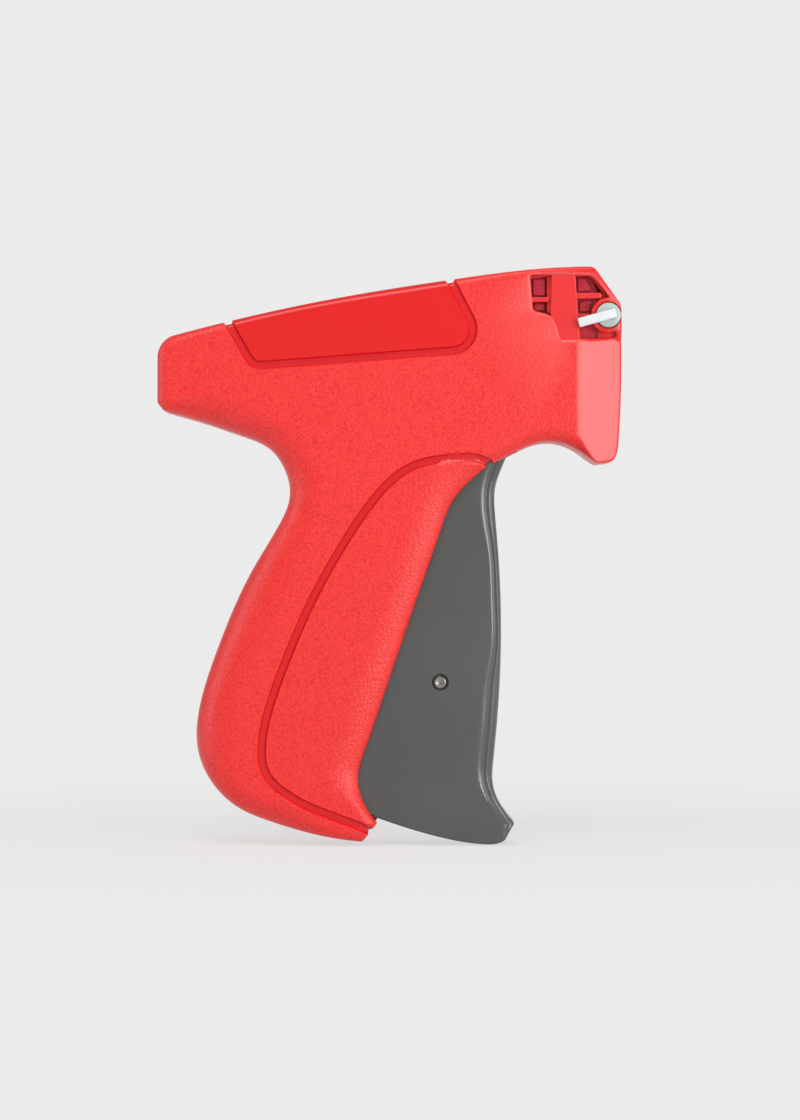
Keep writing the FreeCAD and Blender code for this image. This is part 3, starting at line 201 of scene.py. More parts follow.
TRIGGER_SHARES = [
    [(0.2427, 0.32, "front_top"), (0.259, 0.3513, "front_top"), (0.2712, 0.3825, "front_top"),
     (0.2716, 0.4241, "front_top"), (0.2648, 0.49, "front_mid"), (0.2591, 0.5768, "front_mid"),
     (0.2583, 0.6548, "front_mid"), (0.2619, 0.7329, "front_low"), (0.2683, 0.8023, "front_low"),
     (0.2757, 0.863, "front_low"), (0.2766, 0.8925, "front_top"), (0.2651, 0.9237, "hook"),
     (0.2485, 0.9454, "hook")],
    [(0.229, 0.9644, "hook")],
    [(0.2503, 0.993, "base"), (0.268, 0.999, "base"), (0.2945, 1.0, "base"),
     (0.3981, 0.9863, "base"), (0.5189, 0.9563, "base")],
    [(0.5944, 0.9341, "base")],
    [(0.6009, 0.889, "base"), (0.5793, 0.8283, "base"), (0.5297, 0.7155, "base"),
     (0.4714, 0.5768, "base"), (0.4239, 0.4519, "base"), (0.3981, 0.3946, "base"),
     (0.3722, 0.3478, "base")],
    [(0.3463, 0.2958, "base")],
    [(0.3376, 0.2472, "base")],
    [(0.2514, 0.2472, "base")],
]
TRIGGER_PIVOT = place(0.2945, 0.2472)
LINK_PIN = place(0.3905, 0.719)
KNOB = np.array([-3.4, 3.5])


# Curves through points

def end_slope(knots, rows, at):
    """The slope at a knot of the polynomial through a few rows."""
    return np.polyfit(knots - at, rows, len(knots) - 1)[-2]


def slopes_at_rows(rows):
    """Distances along the chords and slopes of the smooth curve through the rows."""
    gaps = np.linalg.norm(np.diff(rows[:, :2], axis=0), axis=1)
    knots = np.concatenate([[0], np.cumsum(gaps)])
    rises = np.diff(rows, axis=0) / gaps[:, None]
    count = len(rows)
    span = min(4, count)
    system = np.eye(count)
    target = np.zeros_like(rows)
    target[0] = end_slope(knots[:span], rows[:span], knots[0])
    target[-1] = end_slope(knots[-span:], rows[-span:], knots[-1])
    for i in range(1, count - 1):
        system[i, i - 1:i + 2] = (gaps[i], 2 * (gaps[i - 1] + gaps[i]), gaps[i - 1])
        target[i] = 3 * (gaps[i] * rises[i - 1] + gaps[i - 1] * rises[i])
    return knots, np.linalg.solve(system, target)


def curve(rows, shares):
    """Places on the smooth curve through the rows, at shares of its length."""
    rows = np.asarray(rows, float)
    shares = np.asarray(shares, float)
    if len(rows) == 2:
        return rows[0] + np.outer(shares, rows[1] - rows[0])
    knots, slopes = slopes_at_rows(rows)
    along = shares * knots[-1]
    index = np.clip(np.searchsorted(knots, along, side="right") - 1, 0, len(rows) - 2)
    gap = (knots[index + 1] - knots[index])[:, None]
    t = (along - knots[index])[:, None] / gap
    return ((1 + 2 * t) * (1 - t) ** 2 * rows[index] + t * (1 - t) ** 2 * gap * slopes[index]
            + t * t * (3 - 2 * t) * rows[index + 1] + t * t * (t - 1) * gap * slopes[index + 1])


def unit_rows(rows):
    """Rows scaled to a length of one."""
    return rows / np.linalg.norm(rows, axis=1)[:, None]


def closed(ring):
    """A ring as a line that ends where it starts."""
    return np.vstack([ring, ring[:1]])


def directions(points):
    """Unit directions of travel at the points of a smooth curve."""
    if len(points) == 2:
        slopes = np.repeat(points[1:] - points[:1], 2, axis=0)
    else:
        slopes = slopes_at_rows(points)[1]
    return unit_rows(slopes)


def right_hand(points):
    """Directions to the right of the way of travel, seen from the lock lever's side."""
    travel = directions(points)
    return np.stack([travel[:, 1], -travel[:, 0]], axis=1)


def polyline(points, step):
    """Even places along the smooth curve through the points."""
    rough = curve(points, np.linspace(0, 1, ROUGH_SAMPLES // 3))
    length = np.linalg.norm(np.diff(rough, axis=0), axis=1).sum()
    return curve(points, np.linspace(0, 1, max(2, int(length / step) + 1)))


def bent_line(corners, radii, steps=12):
    """A line of straight runs joined by arcs."""
    points = [corners[0]]
    for index, radius in enumerate(radii):
        before, corner, after = corners[index:index + 3]
        ahead = (corner - before) / np.linalg.norm(corner - before)
        onward = (after - corner) / np.linalg.norm(after - corner)
        turn = math.acos(ahead.dot(onward))
        aside = onward - ahead * ahead.dot(onward)
        aside /= np.linalg.norm(aside)
        start = corner - ahead * radius * math.tan(turn / 2)
        for angle in np.linspace(0, turn, steps):
            points.append(start + radius * (ahead * math.sin(angle) + aside * (1 - math.cos(angle))))
    return divided_line(np.array(points + [corners[-1]]), LINE_STEP)


def divided_line(line, step):
    """A line with points added so that none of its pieces is longer than a step."""
    points = []
    for start, end in zip(line[:-1], line[1:]):
        count = max(1, int(math.ceil(np.linalg.norm(end - start) / step)))
        points.extend(start + (end - start) * t for t in np.arange(count) / count)
    return np.array(points + [line[-1]])


def distance(points, line):
    """Distances from points to a line of short straight pieces."""
    points = np.asarray(points, float)
    start = line[:-1]
    along = line[1:] - start
    lengths = (along ** 2).sum(1)
    best = np.full(len(points), np.inf)
    for first in range(0, len(points), BATCH):
        offset = points[first:first + BATCH, None, :] - start[None]
        t = np.clip((offset * along).sum(2) / lengths, 0, 1)
        gap = offset - t[..., None] * along
        best[first:first + BATCH] = np.sqrt((gap ** 2).sum(2)).min(1)
    return best


def inside(points, ring):
    """Which points lie inside a closed ring."""
    points = np.asarray(points, float)
    x, z = points[:, 0:1], points[:, 1:2]
    x0, z0 = ring[:, 0], ring[:, 1]
    x1, z1 = np.roll(x0, -1), np.roll(z0, -1)
    crosses = (z0 > z) != (z1 > z)
    with np.errstate(divide="ignore", invalid="ignore"):
        at = (x1 - x0) * (z - z0) / (z1 - z0) + x0
    return (crosses & (x < at)).sum(1) % 2 == 1


def turning_area(ring):
    """Twice the area of a ring, positive where it runs anticlockwise."""
    following = np.roll(ring, -1, axis=0)
    return (ring[:, 0] * following[:, 1] - following[:, 0] * ring[:, 1]).sum()


def smooth_step(value):
    value = np.clip(value, 0, 1)
    return value * value * (3 - 2 * value)


def smooth_min(first, second, width):
    """The lower of two heights, with the corner between them rounded off."""
    mix = np.clip(0.5 + 0.5 * (second - first) / width, 0, 1)
    return second * (1 - mix) + first * mix - width * mix * (1 - mix)


def rounded_ring(corners, radius, steps=5):
    """A closed ring with each corner of a polygon turned into a short curve."""
    corners = np.asarray(corners, float)
    ring = []
    for index, corner in enumerate(corners):
        before = corners[index - 1] - corner
        after = corners[(index + 1) % len(corners)] - corner
        reach = min(radius, 0.45 * np.linalg.norm(before), 0.45 * np.linalg.norm(after))
        start = corner + before / np.linalg.norm(before) * reach
        end = corner + after / np.linalg.norm(after) * reach
        for t in np.linspace(0, 1, steps):
            ring.append((1 - t) ** 2 * start + 2 * t * (1 - t) * corner + t * t * end)
    return np.array(ring)


def grown_ring(ring, gap):
    """A ring moved outward by a gap, or inward by a negative one."""
    travel = unit_rows(ring - np.roll(ring, 1, axis=0)) + unit_rows(np.roll(ring, -1, axis=0) - ring)
    travel = unit_rows(travel)
    outward = np.stack([travel[:, 1], -travel[:, 0]], axis=1) * (1 if turning_area(ring) > 0 else -1)
    return ring + outward * gap


def divided(ring, step):
    """A closed ring with points added so that none of its sides is longer than a step."""
    points = []
    for start, end in zip(ring, np.roll(ring, -1, axis=0)):
        count = max(1, int(math.ceil(np.linalg.norm(end - start) / step)))
        points.extend(start + (end - start) * t for t in np.arange(count) / count)
    return np.array(points)


def offset_line(line, gap):
    """A line moved sideways by a gap."""
    travel = unit_rows(np.gradient(line, axis=0))
    return line + np.stack([travel[:, 1], -travel[:, 0]], axis=1) * gap


# Meshes

def finished(bm, name):
    """A mesh out of a bmesh."""
    mesh = bpy.data.meshes.new(name)
    bm.to_mesh(mesh)
    bm.free()
    return mesh


def mesh_of(verts, faces):
    """A mesh in metres from places in millimetres, with its faces turned outward."""
    bm = bmesh.new()
    for vert in verts:
        bm.verts.new(Vector(vert) * MM)
    bm.verts.ensure_lookup_table()
    for face in faces:
        bm.faces.new([bm.verts[i] for i in face])
    bmesh.ops.recalc_face_normals(bm, faces=bm.faces)
    return finished(bm, "mesh")


def welded(node):
    """A copy of a frame node's mesh with its split corners joined."""
    bm = bmesh.new()
    bm.from_mesh(frame["nodes"][node].data)
    bmesh.ops.remove_doubles(bm, verts=bm.verts, dist=MERGE_DISTANCE)
    return finished(bm, node)


def open_edges(mesh):
    """How many edges of a mesh don't join two faces."""
    counts = np.zeros(len(mesh.edges), int)
    loops = np.empty(len(mesh.loops), int)
    mesh.loops.foreach_get("edge_index", loops)
    np.add.at(counts, loops, 1)
    return int((counts != 2).sum())


def combine(first, operation, second):
    """One mesh out of two closed ones."""
    for mesh in (first, second):
        if open_edges(mesh):
            print("open edges in", mesh.name, "before", operation)
    pair = [bpy.data.objects.new("operand", mesh) for mesh in (first, second)]
    for thing in pair:
        bpy.context.scene.collection.objects.link(thing)
    modifier = pair[0].modifiers.new("combine", "BOOLEAN")
    modifier.object = pair[1]
    modifier.operation = operation
    modifier.solver = "MANIFOLD"
    bpy.context.view_layer.update()
    evaluated = pair[0].evaluated_get(bpy.context.evaluated_depsgraph_get())
    result = bpy.data.meshes.new_from_object(evaluated)
    for thing in pair:
        bpy.data.objects.remove(thing)
    if not len(result.polygons):
        raise SystemExit(f"nothing is left after {operation} of {first.name} and {second.name}")
    return result


def cut(mesh, *tools):
    """A mesh with others taken out of it in turn."""
    for tool in tools:
        mesh = combine(mesh, "DIFFERENCE", tool)
    return mesh


def cap(boundary, lines):
    """Triangles of the side view that fill a closed boundary, through the lines inside it."""
    count = len(boundary)
    coords = [Vector(point) for point in boundary]
    edges = []
    for line in lines:
        keep = inside(line, boundary) & (distance(line, closed(boundary)) > CAP_MARGIN)
        for index, point in enumerate(line):
            if keep[index]:
                coords.append(Vector(point))
                if index and keep[index - 1]:
                    edges.append((len(coords) - 2, len(coords) - 1))
    ring = list(range(count))
    if turning_area(boundary) < 0:
        ring.reverse()
    verts, _, faces, origins, _, _ = delaunay_2d_cdt(coords, edges, [ring], 1, 1e-5)
    names = []
    extra = []
    for vert, origin in zip(verts, origins):
        rim = [index for index in origin if index < count]
        if rim:
            names.append(rim[0])
        else:
            names.append(count + len(extra))
            extra.append((vert.x, vert.y))
    return np.array(extra).reshape(-1, 2), [[names[i] for i in face] for face in faces]


def prism(ring, low, high):
    """A closed block over a ring of the side view, from y = low to y = high."""
    count = len(ring)
    verts = [(x, y, z) for y in (low, high) for x, z in ring]
    extra, faces = cap(np.asarray(ring, float), [])
    if len(extra):
        raise SystemExit("the ring of a prism crosses itself")
    sides = [(i, (i + 1) % count, count + (i + 1) % count, count + i) for i in range(count)]
    return mesh_of(verts, faces + [[i + count for i in face] for face in faces] + sides)


def block(low, high, bevel=0.0, segments=2):
    """A box between two corners, with rounded edges."""
    bm = bmesh.new()
    bmesh.ops.create_cube(bm, size=1.0)
    low, high = Vector(low), Vector(high)
    for vert in bm.verts:
        vert.co = Vector(low[i] + (vert.co[i] + 0.5) * (high[i] - low[i]) for i in range(3)) * MM
    if bevel:
        bmesh.ops.bevel(bm, geom=list(bm.edges), offset=bevel * MM, segments=segments, profile=0.5,
                        affect="EDGES")
    return finished(bm, "block")


def lathe(profile, centre):
    """A turned piece round an axis along Y through a place of the side view."""
    verts = []
    steps = LATHE_STEPS
    for radius, along in profile:
        for step in range(steps):
            angle = 2 * math.pi * step / steps
            verts.append((centre[0] + radius * math.cos(angle), along, centre[1] + radius * math.sin(angle)))
    faces = [list(range(steps)), list(range((len(profile) - 1) * steps, len(profile) * steps))]
    for row in range(len(profile) - 1):
        for step in range(steps):
            following = (step + 1) % steps
            faces.append((row * steps + step, row * steps + following,
                          (row + 1) * steps + following, (row + 1) * steps + step))
    return mesh_of(verts, faces)


def rod(centre, radius, low, high):
    """A plain round bar along Y."""
    return lathe([(radius, low), (radius, high)], centre)


# Outlines that carry a profile at each point

def outline_runs(table):
    """Points, inward directions and kinds of an outline, run by run."""
    runs = []
    for index, run in enumerate(table):
        marks = run + table[(index + 1) % len(table)][:1]
        points = np.array([place(back, down) for back, down, kind in marks])
        runs.append((points, right_hand(points), [kind for back, down, kind in marks]))
    for index, (points, inward, kinds) in enumerate(runs):
        before = runs[index - 1][1]
        mitre = (before[-1] + inward[0]) / (1 + before[-1].dot(inward[0]))
        before[-1] = mitre
        inward[0] = mitre
    return runs


def run_shares(points, step, lines):
    """Shares along a run, closer together at its ends and where it passes one of the lines."""
    shares = np.linspace(0, 1, ROUGH_SAMPLES)
    rough = curve(points, shares)
    length = np.linalg.norm(np.diff(rough, axis=0), axis=1).sum()
    near = np.minimum(shares, 1 - shares) * length < CORNER_ROUND * 1.2 + step
    for line in lines:
        near |= distance(rough, line) < GROOVE_HALF_WIDTH * 2
    chosen = [0.0]
    while True:
        stride = FINE_STEP if near[int(chosen[-1] * (ROUGH_SAMPLES - 1))] else step
        following = chosen[-1] + stride / length
        if following > 1 - 0.5 * stride / length:
            return chosen
        chosen.append(following)


def rings_of(table, profiles, step, lines=()):
    """Rings of places round an outline, one for each row of the profiles of its points."""
    runs = outline_runs(table)
    shares = [run_shares(points, step, lines) for points, inward, kinds in runs]
    rings = []
    for row in range(len(next(iter(profiles.values())))):
        ring = []
        for (points, inward, kinds), chosen in zip(runs, shares):
            inset = np.array([profiles[kind][row][0] for kind in kinds])
            height = np.array([profiles[kind][row][1] for kind in kinds])
            moved = np.column_stack([points + inward * inset[:, None], height])
            ring.append(curve(moved, chosen))
        starts = np.cumsum([0] + [len(part) for part in ring[:-1]])
        softness = [CORNER_ROUND if kinds[0] in ("lip", "nose") else SHARP_CORNER_ROUND
                    for points, inward, kinds in runs]
        rings.append(eased_corners(np.vstack(ring), starts, softness))
    return rings


def eased_corners(ring, corners, softness):
    """A ring with the samples round its corners moved onto short curves."""
    eased = ring.copy()
    count = len(ring)
    for corner, size in zip(corners, softness):
        reach = int(size / FINE_STEP)
        start, end = ring[corner - reach], ring[(corner + reach) % count]
        for offset in range(1 - reach, reach):
            t = (offset + reach) / (2 * reach)
            index = (corner + offset) % count
            eased[index] = (1 - t) ** 2 * start + 2 * t * (1 - t) * ring[corner] + t * t * end
    return eased


def lofted(rings, lines=(), height=None):
    """A closed mesh through rings of (x, z, y) rows; lines and a height shape the last cap."""
    count = len(rings[0])
    verts = [(x, y, z) for ring in rings for x, z, y in ring]
    faces = []
    for row in range(len(rings) - 1):
        for i in range(count):
            j = (i + 1) % count
            faces.append((row * count + i, row * count + j, (row + 1) * count + j, (row + 1) * count + i))
    first_extra, first = cap(rings[0][:, :2], [])
    faces.extend(first)
    extra, last = cap(rings[-1][:, :2], lines)
    base = (len(rings) - 1) * count
    shift = len(verts) - count
    faces.extend([[base + i if i < count else shift + i for i in face] for face in last])
    if len(extra):
        if height is None:
            raise SystemExit("the last ring of a loft crosses itself")
        heights = height(extra)
        verts.extend((x, y, z) for (x, z), y in zip(extra, heights))
    return verts, faces


# Casing halves

PANEL_LINE = bent_line(places(PANEL_CORNER_SHARES), PANEL_CORNER_RADII)
GRIP_LINE = polyline(places(GRIP_GROOVE_SHARES), LINE_STEP)
WINDOW_RING = rounded_ring(places(WINDOW_SHARES), WINDOW_CORNER)
OUTLINE = np.vstack([curve(points, np.linspace(0, 1, 60)[:-1])
                     for points, inward, kinds in outline_runs(CASING_SHARES)])

# Rows of the window's edge: the gap outside its ring, and the depth there
WINDOW_DEPTH = 4.4
WINDOW_LIP = [(0.75, 0.0), (0.6, 0.04), (0.4, 0.14), (0.2, 0.32), (0.06, 0.55), (-0.02, 0.85),
              (-0.12, WINDOW_DEPTH)]

# Gaps beside the grooves and the crease, and heights along the crease, where the cap has extra points
GROOVE_GUIDES = (0.3, 0.5, 0.6, 0.7, 0.8, 0.9, 1.0, 1.12, 1.5)
CREASE_GUIDES = (-1.0, -0.6, -0.3, 0.0, 0.3, 0.6, 1.0)
CORE_CREASE_GUIDES = (-1.0, 0.0, 1.0, 4.0, 7.0)
CREASE_TOP = -2.9
CREASE_FOOT = -40.0

# Where the taper of the nose fades out: above a height, and behind its crease
TAPER_TOP = -2.7
TAPER_TOP_FADE = 3.6
TAPER_TOP_LIFT = 4.0
TAPER_BACK = 1.0
TAPER_BACK_FADE = 4.0
TAPER_BACK_LIFT = 6.0
TAPER_REACH = 3.0
TAPER_BLEND = 0.2

# Corners of the blocks that cut the openings of the nose
CLIP_CHANNEL = ((-15.5, -2.3, 6.5), (-6.3, 2.3, NEEDLE_DROP + OVER))
SEAT_POCKET = ((-5.75, -3.05, -3.05), (OVER, 3.55, 2.05))
FILAMENT_SLIT = ((-15.5, 8.0, -0.6), (OVER, HALF_THICKNESS + OVER, 0.6))

# Rows of the ring round the lock lever, from its foot out to its eased edge
KNOB_RING_ROWS = [(KNOB_RING_RADIUS, -8.0), (KNOB_RING_RADIUS, -11.5), (KNOB_RING_RADIUS - 0.1, -11.75),
                  (KNOB_RING_RADIUS - 0.3, -11.88)]
RING_INSET = 0.02


def groove_depth(points):
    """How deep the two grooves are at places of the side view."""
    gap = np.minimum(distance(points, PANEL_LINE), distance(points, GRIP_LINE))
    return GROOVE_DEPTH * smooth_step((GROOVE_HALF_WIDTH + GROOVE_LIP - gap) / (2 * GROOVE_LIP))


def taper_height(points, inset=0.0):
    """Height of the plane that narrows the nose, with its own small rounding at the edge."""
    slope = (HALF_THICKNESS - NOSE_HALF_WIDTH) / NOSE_CREASE
    past = points[:, 0] + NOSE_CREASE
    above = TAPER_TOP_LIFT * smooth_step((points[:, 1] - TAPER_TOP) / TAPER_TOP_FADE)
    behind = TAPER_BACK_LIFT * smooth_step(-(past + TAPER_BACK) / TAPER_BACK_FADE)
    edge = np.minimum(distance(points, closed(OUTLINE)) - inset, TAPER_ROUND) / TAPER_ROUND
    round_off = TAPER_ROUND * (1 - np.sqrt(np.clip(1 - (1 - np.maximum(edge, 0)) ** 2, 0, 1)))
    return HALF_THICKNESS - inset - slope * past + above + behind - round_off


def tapered(points, heights, inset=0.0):
    """Heights with the nose narrowed."""
    result = np.array(heights, float)
    zone = points[:, 0] > -NOSE_CREASE - TAPER_REACH
    if zone.any():
        result[zone] = smooth_min(result[zone], taper_height(points[zone], inset), TAPER_BLEND)
    return result


def upright(x, step):
    """A line of points down the taper of the nose."""
    return np.array([[x, z] for z in np.arange(CREASE_TOP, CREASE_FOOT, -step)])


def casing_profiles(inset, steps, seam):
    """Rows of inset and height from the mid plane out to the flat side."""
    profiles = {}
    for kind, (width, depth) in ROUNDINGS.items():
        width = max(width - inset, LEAST_ROUND)
        depth = max(depth - inset, LEAST_ROUND)
        half = HALF_THICKNESS - inset
        rows = [(inset + seam, 0.0), (inset, seam + 0.01)]
        for step in range(steps + 1):
            angle = math.pi / 2 * step / steps
            rows.append((inset + width * (1 - math.cos(angle)), half - depth + depth * math.sin(angle)))
        rows.append((inset + width + FLAT_RIM, half))
        profiles[kind] = rows
    return profiles


def casing_outer(side):
    """The outside of one casing half as a closed solid, with grooves, taper and window pit."""
    lines = (PANEL_LINE, GRIP_LINE)
    rings = rings_of(CASING_SHARES, casing_profiles(0.0, ROUND_STEPS, SEAM_BEVEL), STEP, lines)
    angles = [0.0, 0.0] + [math.pi / 2 * min(step / ROUND_STEPS, 1) for step in range(ROUND_STEPS + 2)]
    inward = unit_rows(rings[-2][:, :2] - rings[1][:, :2])
    shaped = []
    for ring, angle in zip(rings, angles):
        depth = groove_depth(ring[:, :2])
        flat = ring[:, :2] + inward * (depth * math.cos(angle))[:, None]
        height = ring[:, 2] - depth * math.sin(angle)
        if angle > 0 or ring is rings[2]:
            height = tapered(ring[:, :2], height)
        shaped.append(np.column_stack([flat, height]))
    guides = []
    for line in lines:
        guides.append(line)
        for gap in GROOVE_GUIDES:
            guides.extend([offset_line(line, gap), offset_line(line, -gap)])
    guides.extend(upright(gap - NOSE_CREASE, LINE_STEP) for gap in CREASE_GUIDES)
    guides.extend(upright(x, 2 * LINE_STEP) for x in np.arange(2.0 - NOSE_CREASE, -1.0, 1.0))
    if side == NEAR:
        for gap, depth in WINDOW_LIP:
            guides.append(closed(divided(grown_ring(WINDOW_RING, gap), LINE_STEP)))

    def height(points):
        heights = tapered(points, HALF_THICKNESS - groove_depth(points))
        if side == NEAR:
            gaps = distance(points, closed(WINDOW_RING))
            gaps = np.where(inside(points, WINDOW_RING), -gaps, gaps)
            heights -= np.interp(gaps, *zip(*WINDOW_LIP[::-1]))
        return heights * side

    shaped = [np.column_stack([ring[:, :2], ring[:, 2] * side]) for ring in shaped]
    return mesh_of(*lofted(shaped, guides, height))


def casing_core(side, inset):
    """The body drawn in all round by an inset, as a plain closed solid."""
    rings = rings_of(CASING_SHARES, casing_profiles(inset, CORE_ROUND_STEPS, 0.0), CORE_STEP)
    shaped = []
    for index, ring in enumerate(rings):
        height = ring[:, 2].copy()
        if index == 0:
            height[:] = -OVER
        elif index > 1:
            height = tapered(ring[:, :2], height, inset)
        shaped.append(np.column_stack([ring[:, :2], height * side]))
    guides = [upright(gap - NOSE_CREASE, 2 * LINE_STEP) for gap in CORE_CREASE_GUIDES]

    def height(points):
        return tapered(points, np.full(len(points), HALF_THICKNESS - inset), inset) * side

    return mesh_of(*lofted(shaped, guides, height))


def casing(side, node):
    """A casing half: a fine skin outside, the frame's own inside, and the openings cut through both."""
    skin = cut(casing_outer(side), casing_core(side, SKIN))
    within = combine(welded(node), "INTERSECT", casing_core(side, SKIN_OVERLAP))
    slot_half = TRIGGER_HALF + TRIGGER_SLOT_GAP
    slot = prism(places(TRIGGER_SLOT_SHARES), -slot_half, slot_half)
    shell = cut(combine(skin, "UNION", within), slot, block(*CLIP_CHANNEL), block(*SEAT_POCKET))
    if side == FAR:
        return cut(shell, block(*FILAMENT_SLIT))
    ring = combine(lathe(KNOB_RING_ROWS, KNOB), "INTERSECT", casing_core(side, RING_INSET))
    pocket_floor = -KNOB_FACE + KNOB_THICKNESS + KNOB_FLOOR_GAP
    pocket = rod(KNOB, KNOB_RADIUS + KNOB_POCKET_GAP, -HALF_THICKNESS - OVER, pocket_floor)
    bore = rod(KNOB, LOCK_SHAFT_BORE, -HALF_THICKNESS, 0.0)
    return cut(combine(shell, "UNION", ring), pocket, bore)


# Materials

class Tree:
    """Short calls for building the nodes of a material or a world."""

    def __init__(self, owner):
        owner.use_nodes = True
        self.owner = owner
        self.nodes = owner.node_tree.nodes
        self.links = owner.node_tree.links

    def add(self, kind, inputs=None, **settings):
        node = self.nodes.new("ShaderNode" + kind)
        for name, value in settings.items():
            setattr(node, name, value)
        for name, value in (inputs or {}).items():
            self.put(node.inputs[name], value)
        return node

    def put(self, socket, value):
        if isinstance(value, bpy.types.NodeSocket):
            self.links.new(value, socket)
        else:
            socket.default_value = value

    def shade(self, name, value):
        self.put(self.nodes["Principled BSDF"].inputs[name], value)

    def coordinates(self):
        return self.add("TexCoord").outputs["Object"]

    def noise(self, scale, detail=2.0):
        inputs = {"Vector": self.coordinates(), "Scale": scale, "Detail": detail}
        return self.add("TexNoise", inputs).outputs["Fac"]

    def attribute(self, name):
        return self.add("Attribute", attribute_name=name).outputs["Fac"]

    def depth(self, face, floor):
        """0 at a face and 1 at a floor below it, both in millimetres along Y."""
        across = self.add("SeparateXYZ", {"Vector": self.coordinates()}).outputs["Y"]
        span = {"Value": across, "From Min": face * MM, "From Max": floor * MM}
        return self.add("MapRange", span).outputs["Result"]

    def drifting(self, value, low, high):
        """A colour that drifts between two as a value goes up."""
        return self.ramp(value, [(0.3, low), (0.7, high)])

    def math(self, operation, first, second=0.0):
        return self.add("Math", {0: first, 1: second}, operation=operation).outputs[0]

    def ramp(self, value, stops):
        node = self.add("ValToRGB", {"Fac": value})
        elements = node.color_ramp.elements
        while len(elements) < len(stops):
            elements.new(0.5)
        for element, (position, colour) in zip(elements, stops):
            element.position = position
            element.color = (*colour, 1)
        return node.outputs["Color"]

    def mix(self, factor, first, second):
        node = self.add("Mix", data_type="RGBA")
        self.put(node.inputs[0], factor)
        self.put(node.inputs[6], first)
        self.put(node.inputs[7], second)
        return node.outputs[2]

    def bump(self, height, distance):
        node = self.add("Bump", {"Height": height, "Distance": distance, "Strength": 1.0})
        self.shade("Normal", node.outputs["Normal"])


def tinted(colour, share):
    """A colour made lighter or darker by a share."""
    return tuple(min(1.0, value * share) for value in colour)


# Colours of the moulded plastics, how strongly two of them show, and the heights of grain in metres; painted
# light among them: highlight on the grain's tops and shade in its hollows, shade in the grooves, highlight on
# the window's lip, and the darker deep colours of the tray and the lock as shade
CASING_RED = (0.76, 0.013, 0.011)
# painted highlight for the grain's tops
GRAIN_HIGHLIGHT_RED = (0.88, 0.036, 0.032)
PANEL_RED = (0.71, 0.004, 0.004)
# painted shade for the grooves
GROOVE_SHADE_RED = (0.68, 0.004, 0.009)
# painted highlight for the window's rounded lip
LIP_HIGHLIGHT_RED = (0.86, 0.11, 0.10)
TRAY_REDS = ((0.74, 0.022, 0.024), (0.78, 0.026, 0.027))
# the tray's deep plates: their own crimson, darkened as painted shade of the pockets
TRAY_CRIMSON_AND_SHADE_REDS = ((0.52, 0.012, 0.034), (0.58, 0.014, 0.042))
LOCK_GREYS = ((0.68, 0.71, 0.73), (0.73, 0.76, 0.78))
# painted shade for the lock's disc below the raised bar
LOCK_SHADED_DISC_GREYS = ((0.43, 0.50, 0.47), (0.48, 0.55, 0.52))
GRAIN_LIGHT_SHARE = 0.7
LIP_HIGHLIGHT_SHARE = 0.8
CASING_GRAIN = 0.00007
FINE_GRAIN = 0.00001


def casing_material():
    """Red plastic with a fine leather grain, and none on the panel, the grooves and the nose; painted
    highlight on the grain's tops, painted shade in its hollows and in the grooves, and a painted highlight
    round the window's lip.
    """
    tree = Tree(bpy.data.materials.new("casing_red_grained"))
    grained = tree.math("SUBTRACT", 1.0, tree.attribute("smooth_area"))
    cells = tree.add("TexVoronoi", {"Vector": tree.coordinates(), "Scale": 1500.0}, feature="SMOOTH_F1")
    creases = tree.add("TexVoronoi", {"Vector": tree.coordinates(), "Scale": 900.0},
                       feature="DISTANCE_TO_EDGE")
    fine = tree.noise(3200.0, 3.0)
    leather = tree.math("MULTIPLY", tree.math("MINIMUM", creases.outputs["Distance"], 0.25), 2.0)
    height = tree.math("ADD", tree.math("ADD", cells.outputs["Distance"], leather),
                       tree.math("MULTIPLY", fine, 0.5))
    base = tree.drifting(tree.noise(60.0, 3.0), tinted(CASING_RED, 0.97), tinted(CASING_RED, 1.03))
    # painted highlight on the grain's tops and painted shade in its hollows, set by grain height
    grain_light_and_shade = tree.ramp(height, [(0.45, tinted(CASING_RED, 0.86)), (1.2, GRAIN_HIGHLIGHT_RED)])
    surface = tree.mix(tree.math("MULTIPLY", grained, GRAIN_LIGHT_SHARE), base, grain_light_and_shade)
    surface = tree.mix(tree.attribute("panel_area"), surface, (*PANEL_RED, 1))
    # painted shade: the grooves drawn a darker red
    surface = tree.mix(tree.attribute("groove_shade_area"), surface, (*GROOVE_SHADE_RED, 1))
    # painted highlight: the window's lip drawn a paler pink
    surface = tree.mix(tree.math("MULTIPLY", tree.attribute("lip_highlight_area"), LIP_HIGHLIGHT_SHARE), surface, (*LIP_HIGHLIGHT_RED, 1))
    tree.shade("Base Color", surface)
    tree.shade("Roughness", tree.math("ADD", 0.3, tree.math("MULTIPLY", grained, 0.08)))
    tree.bump(tree.math("MULTIPLY", height, grained), CASING_GRAIN)
    return tree.owner


def plastic(name, colour, roughness, grain_scale=900.0, grain=FINE_GRAIN):
    """A moulded plastic with faint colour drift and a fine surface."""
    tree = Tree(bpy.data.materials.new(name))
    drift = tree.noise(45.0, 3.0)
    tree.shade("Base Color", tree.drifting(drift, tinted(colour, 0.94), tinted(colour, 1.06)))
    rough = tree.math("MULTIPLY", tree.noise(220.0), 0.06)
    tree.shade("Roughness", tree.math("ADD", roughness - 0.03, rough))
    tree.bump(tree.noise(grain_scale), grain)
    return tree.owner


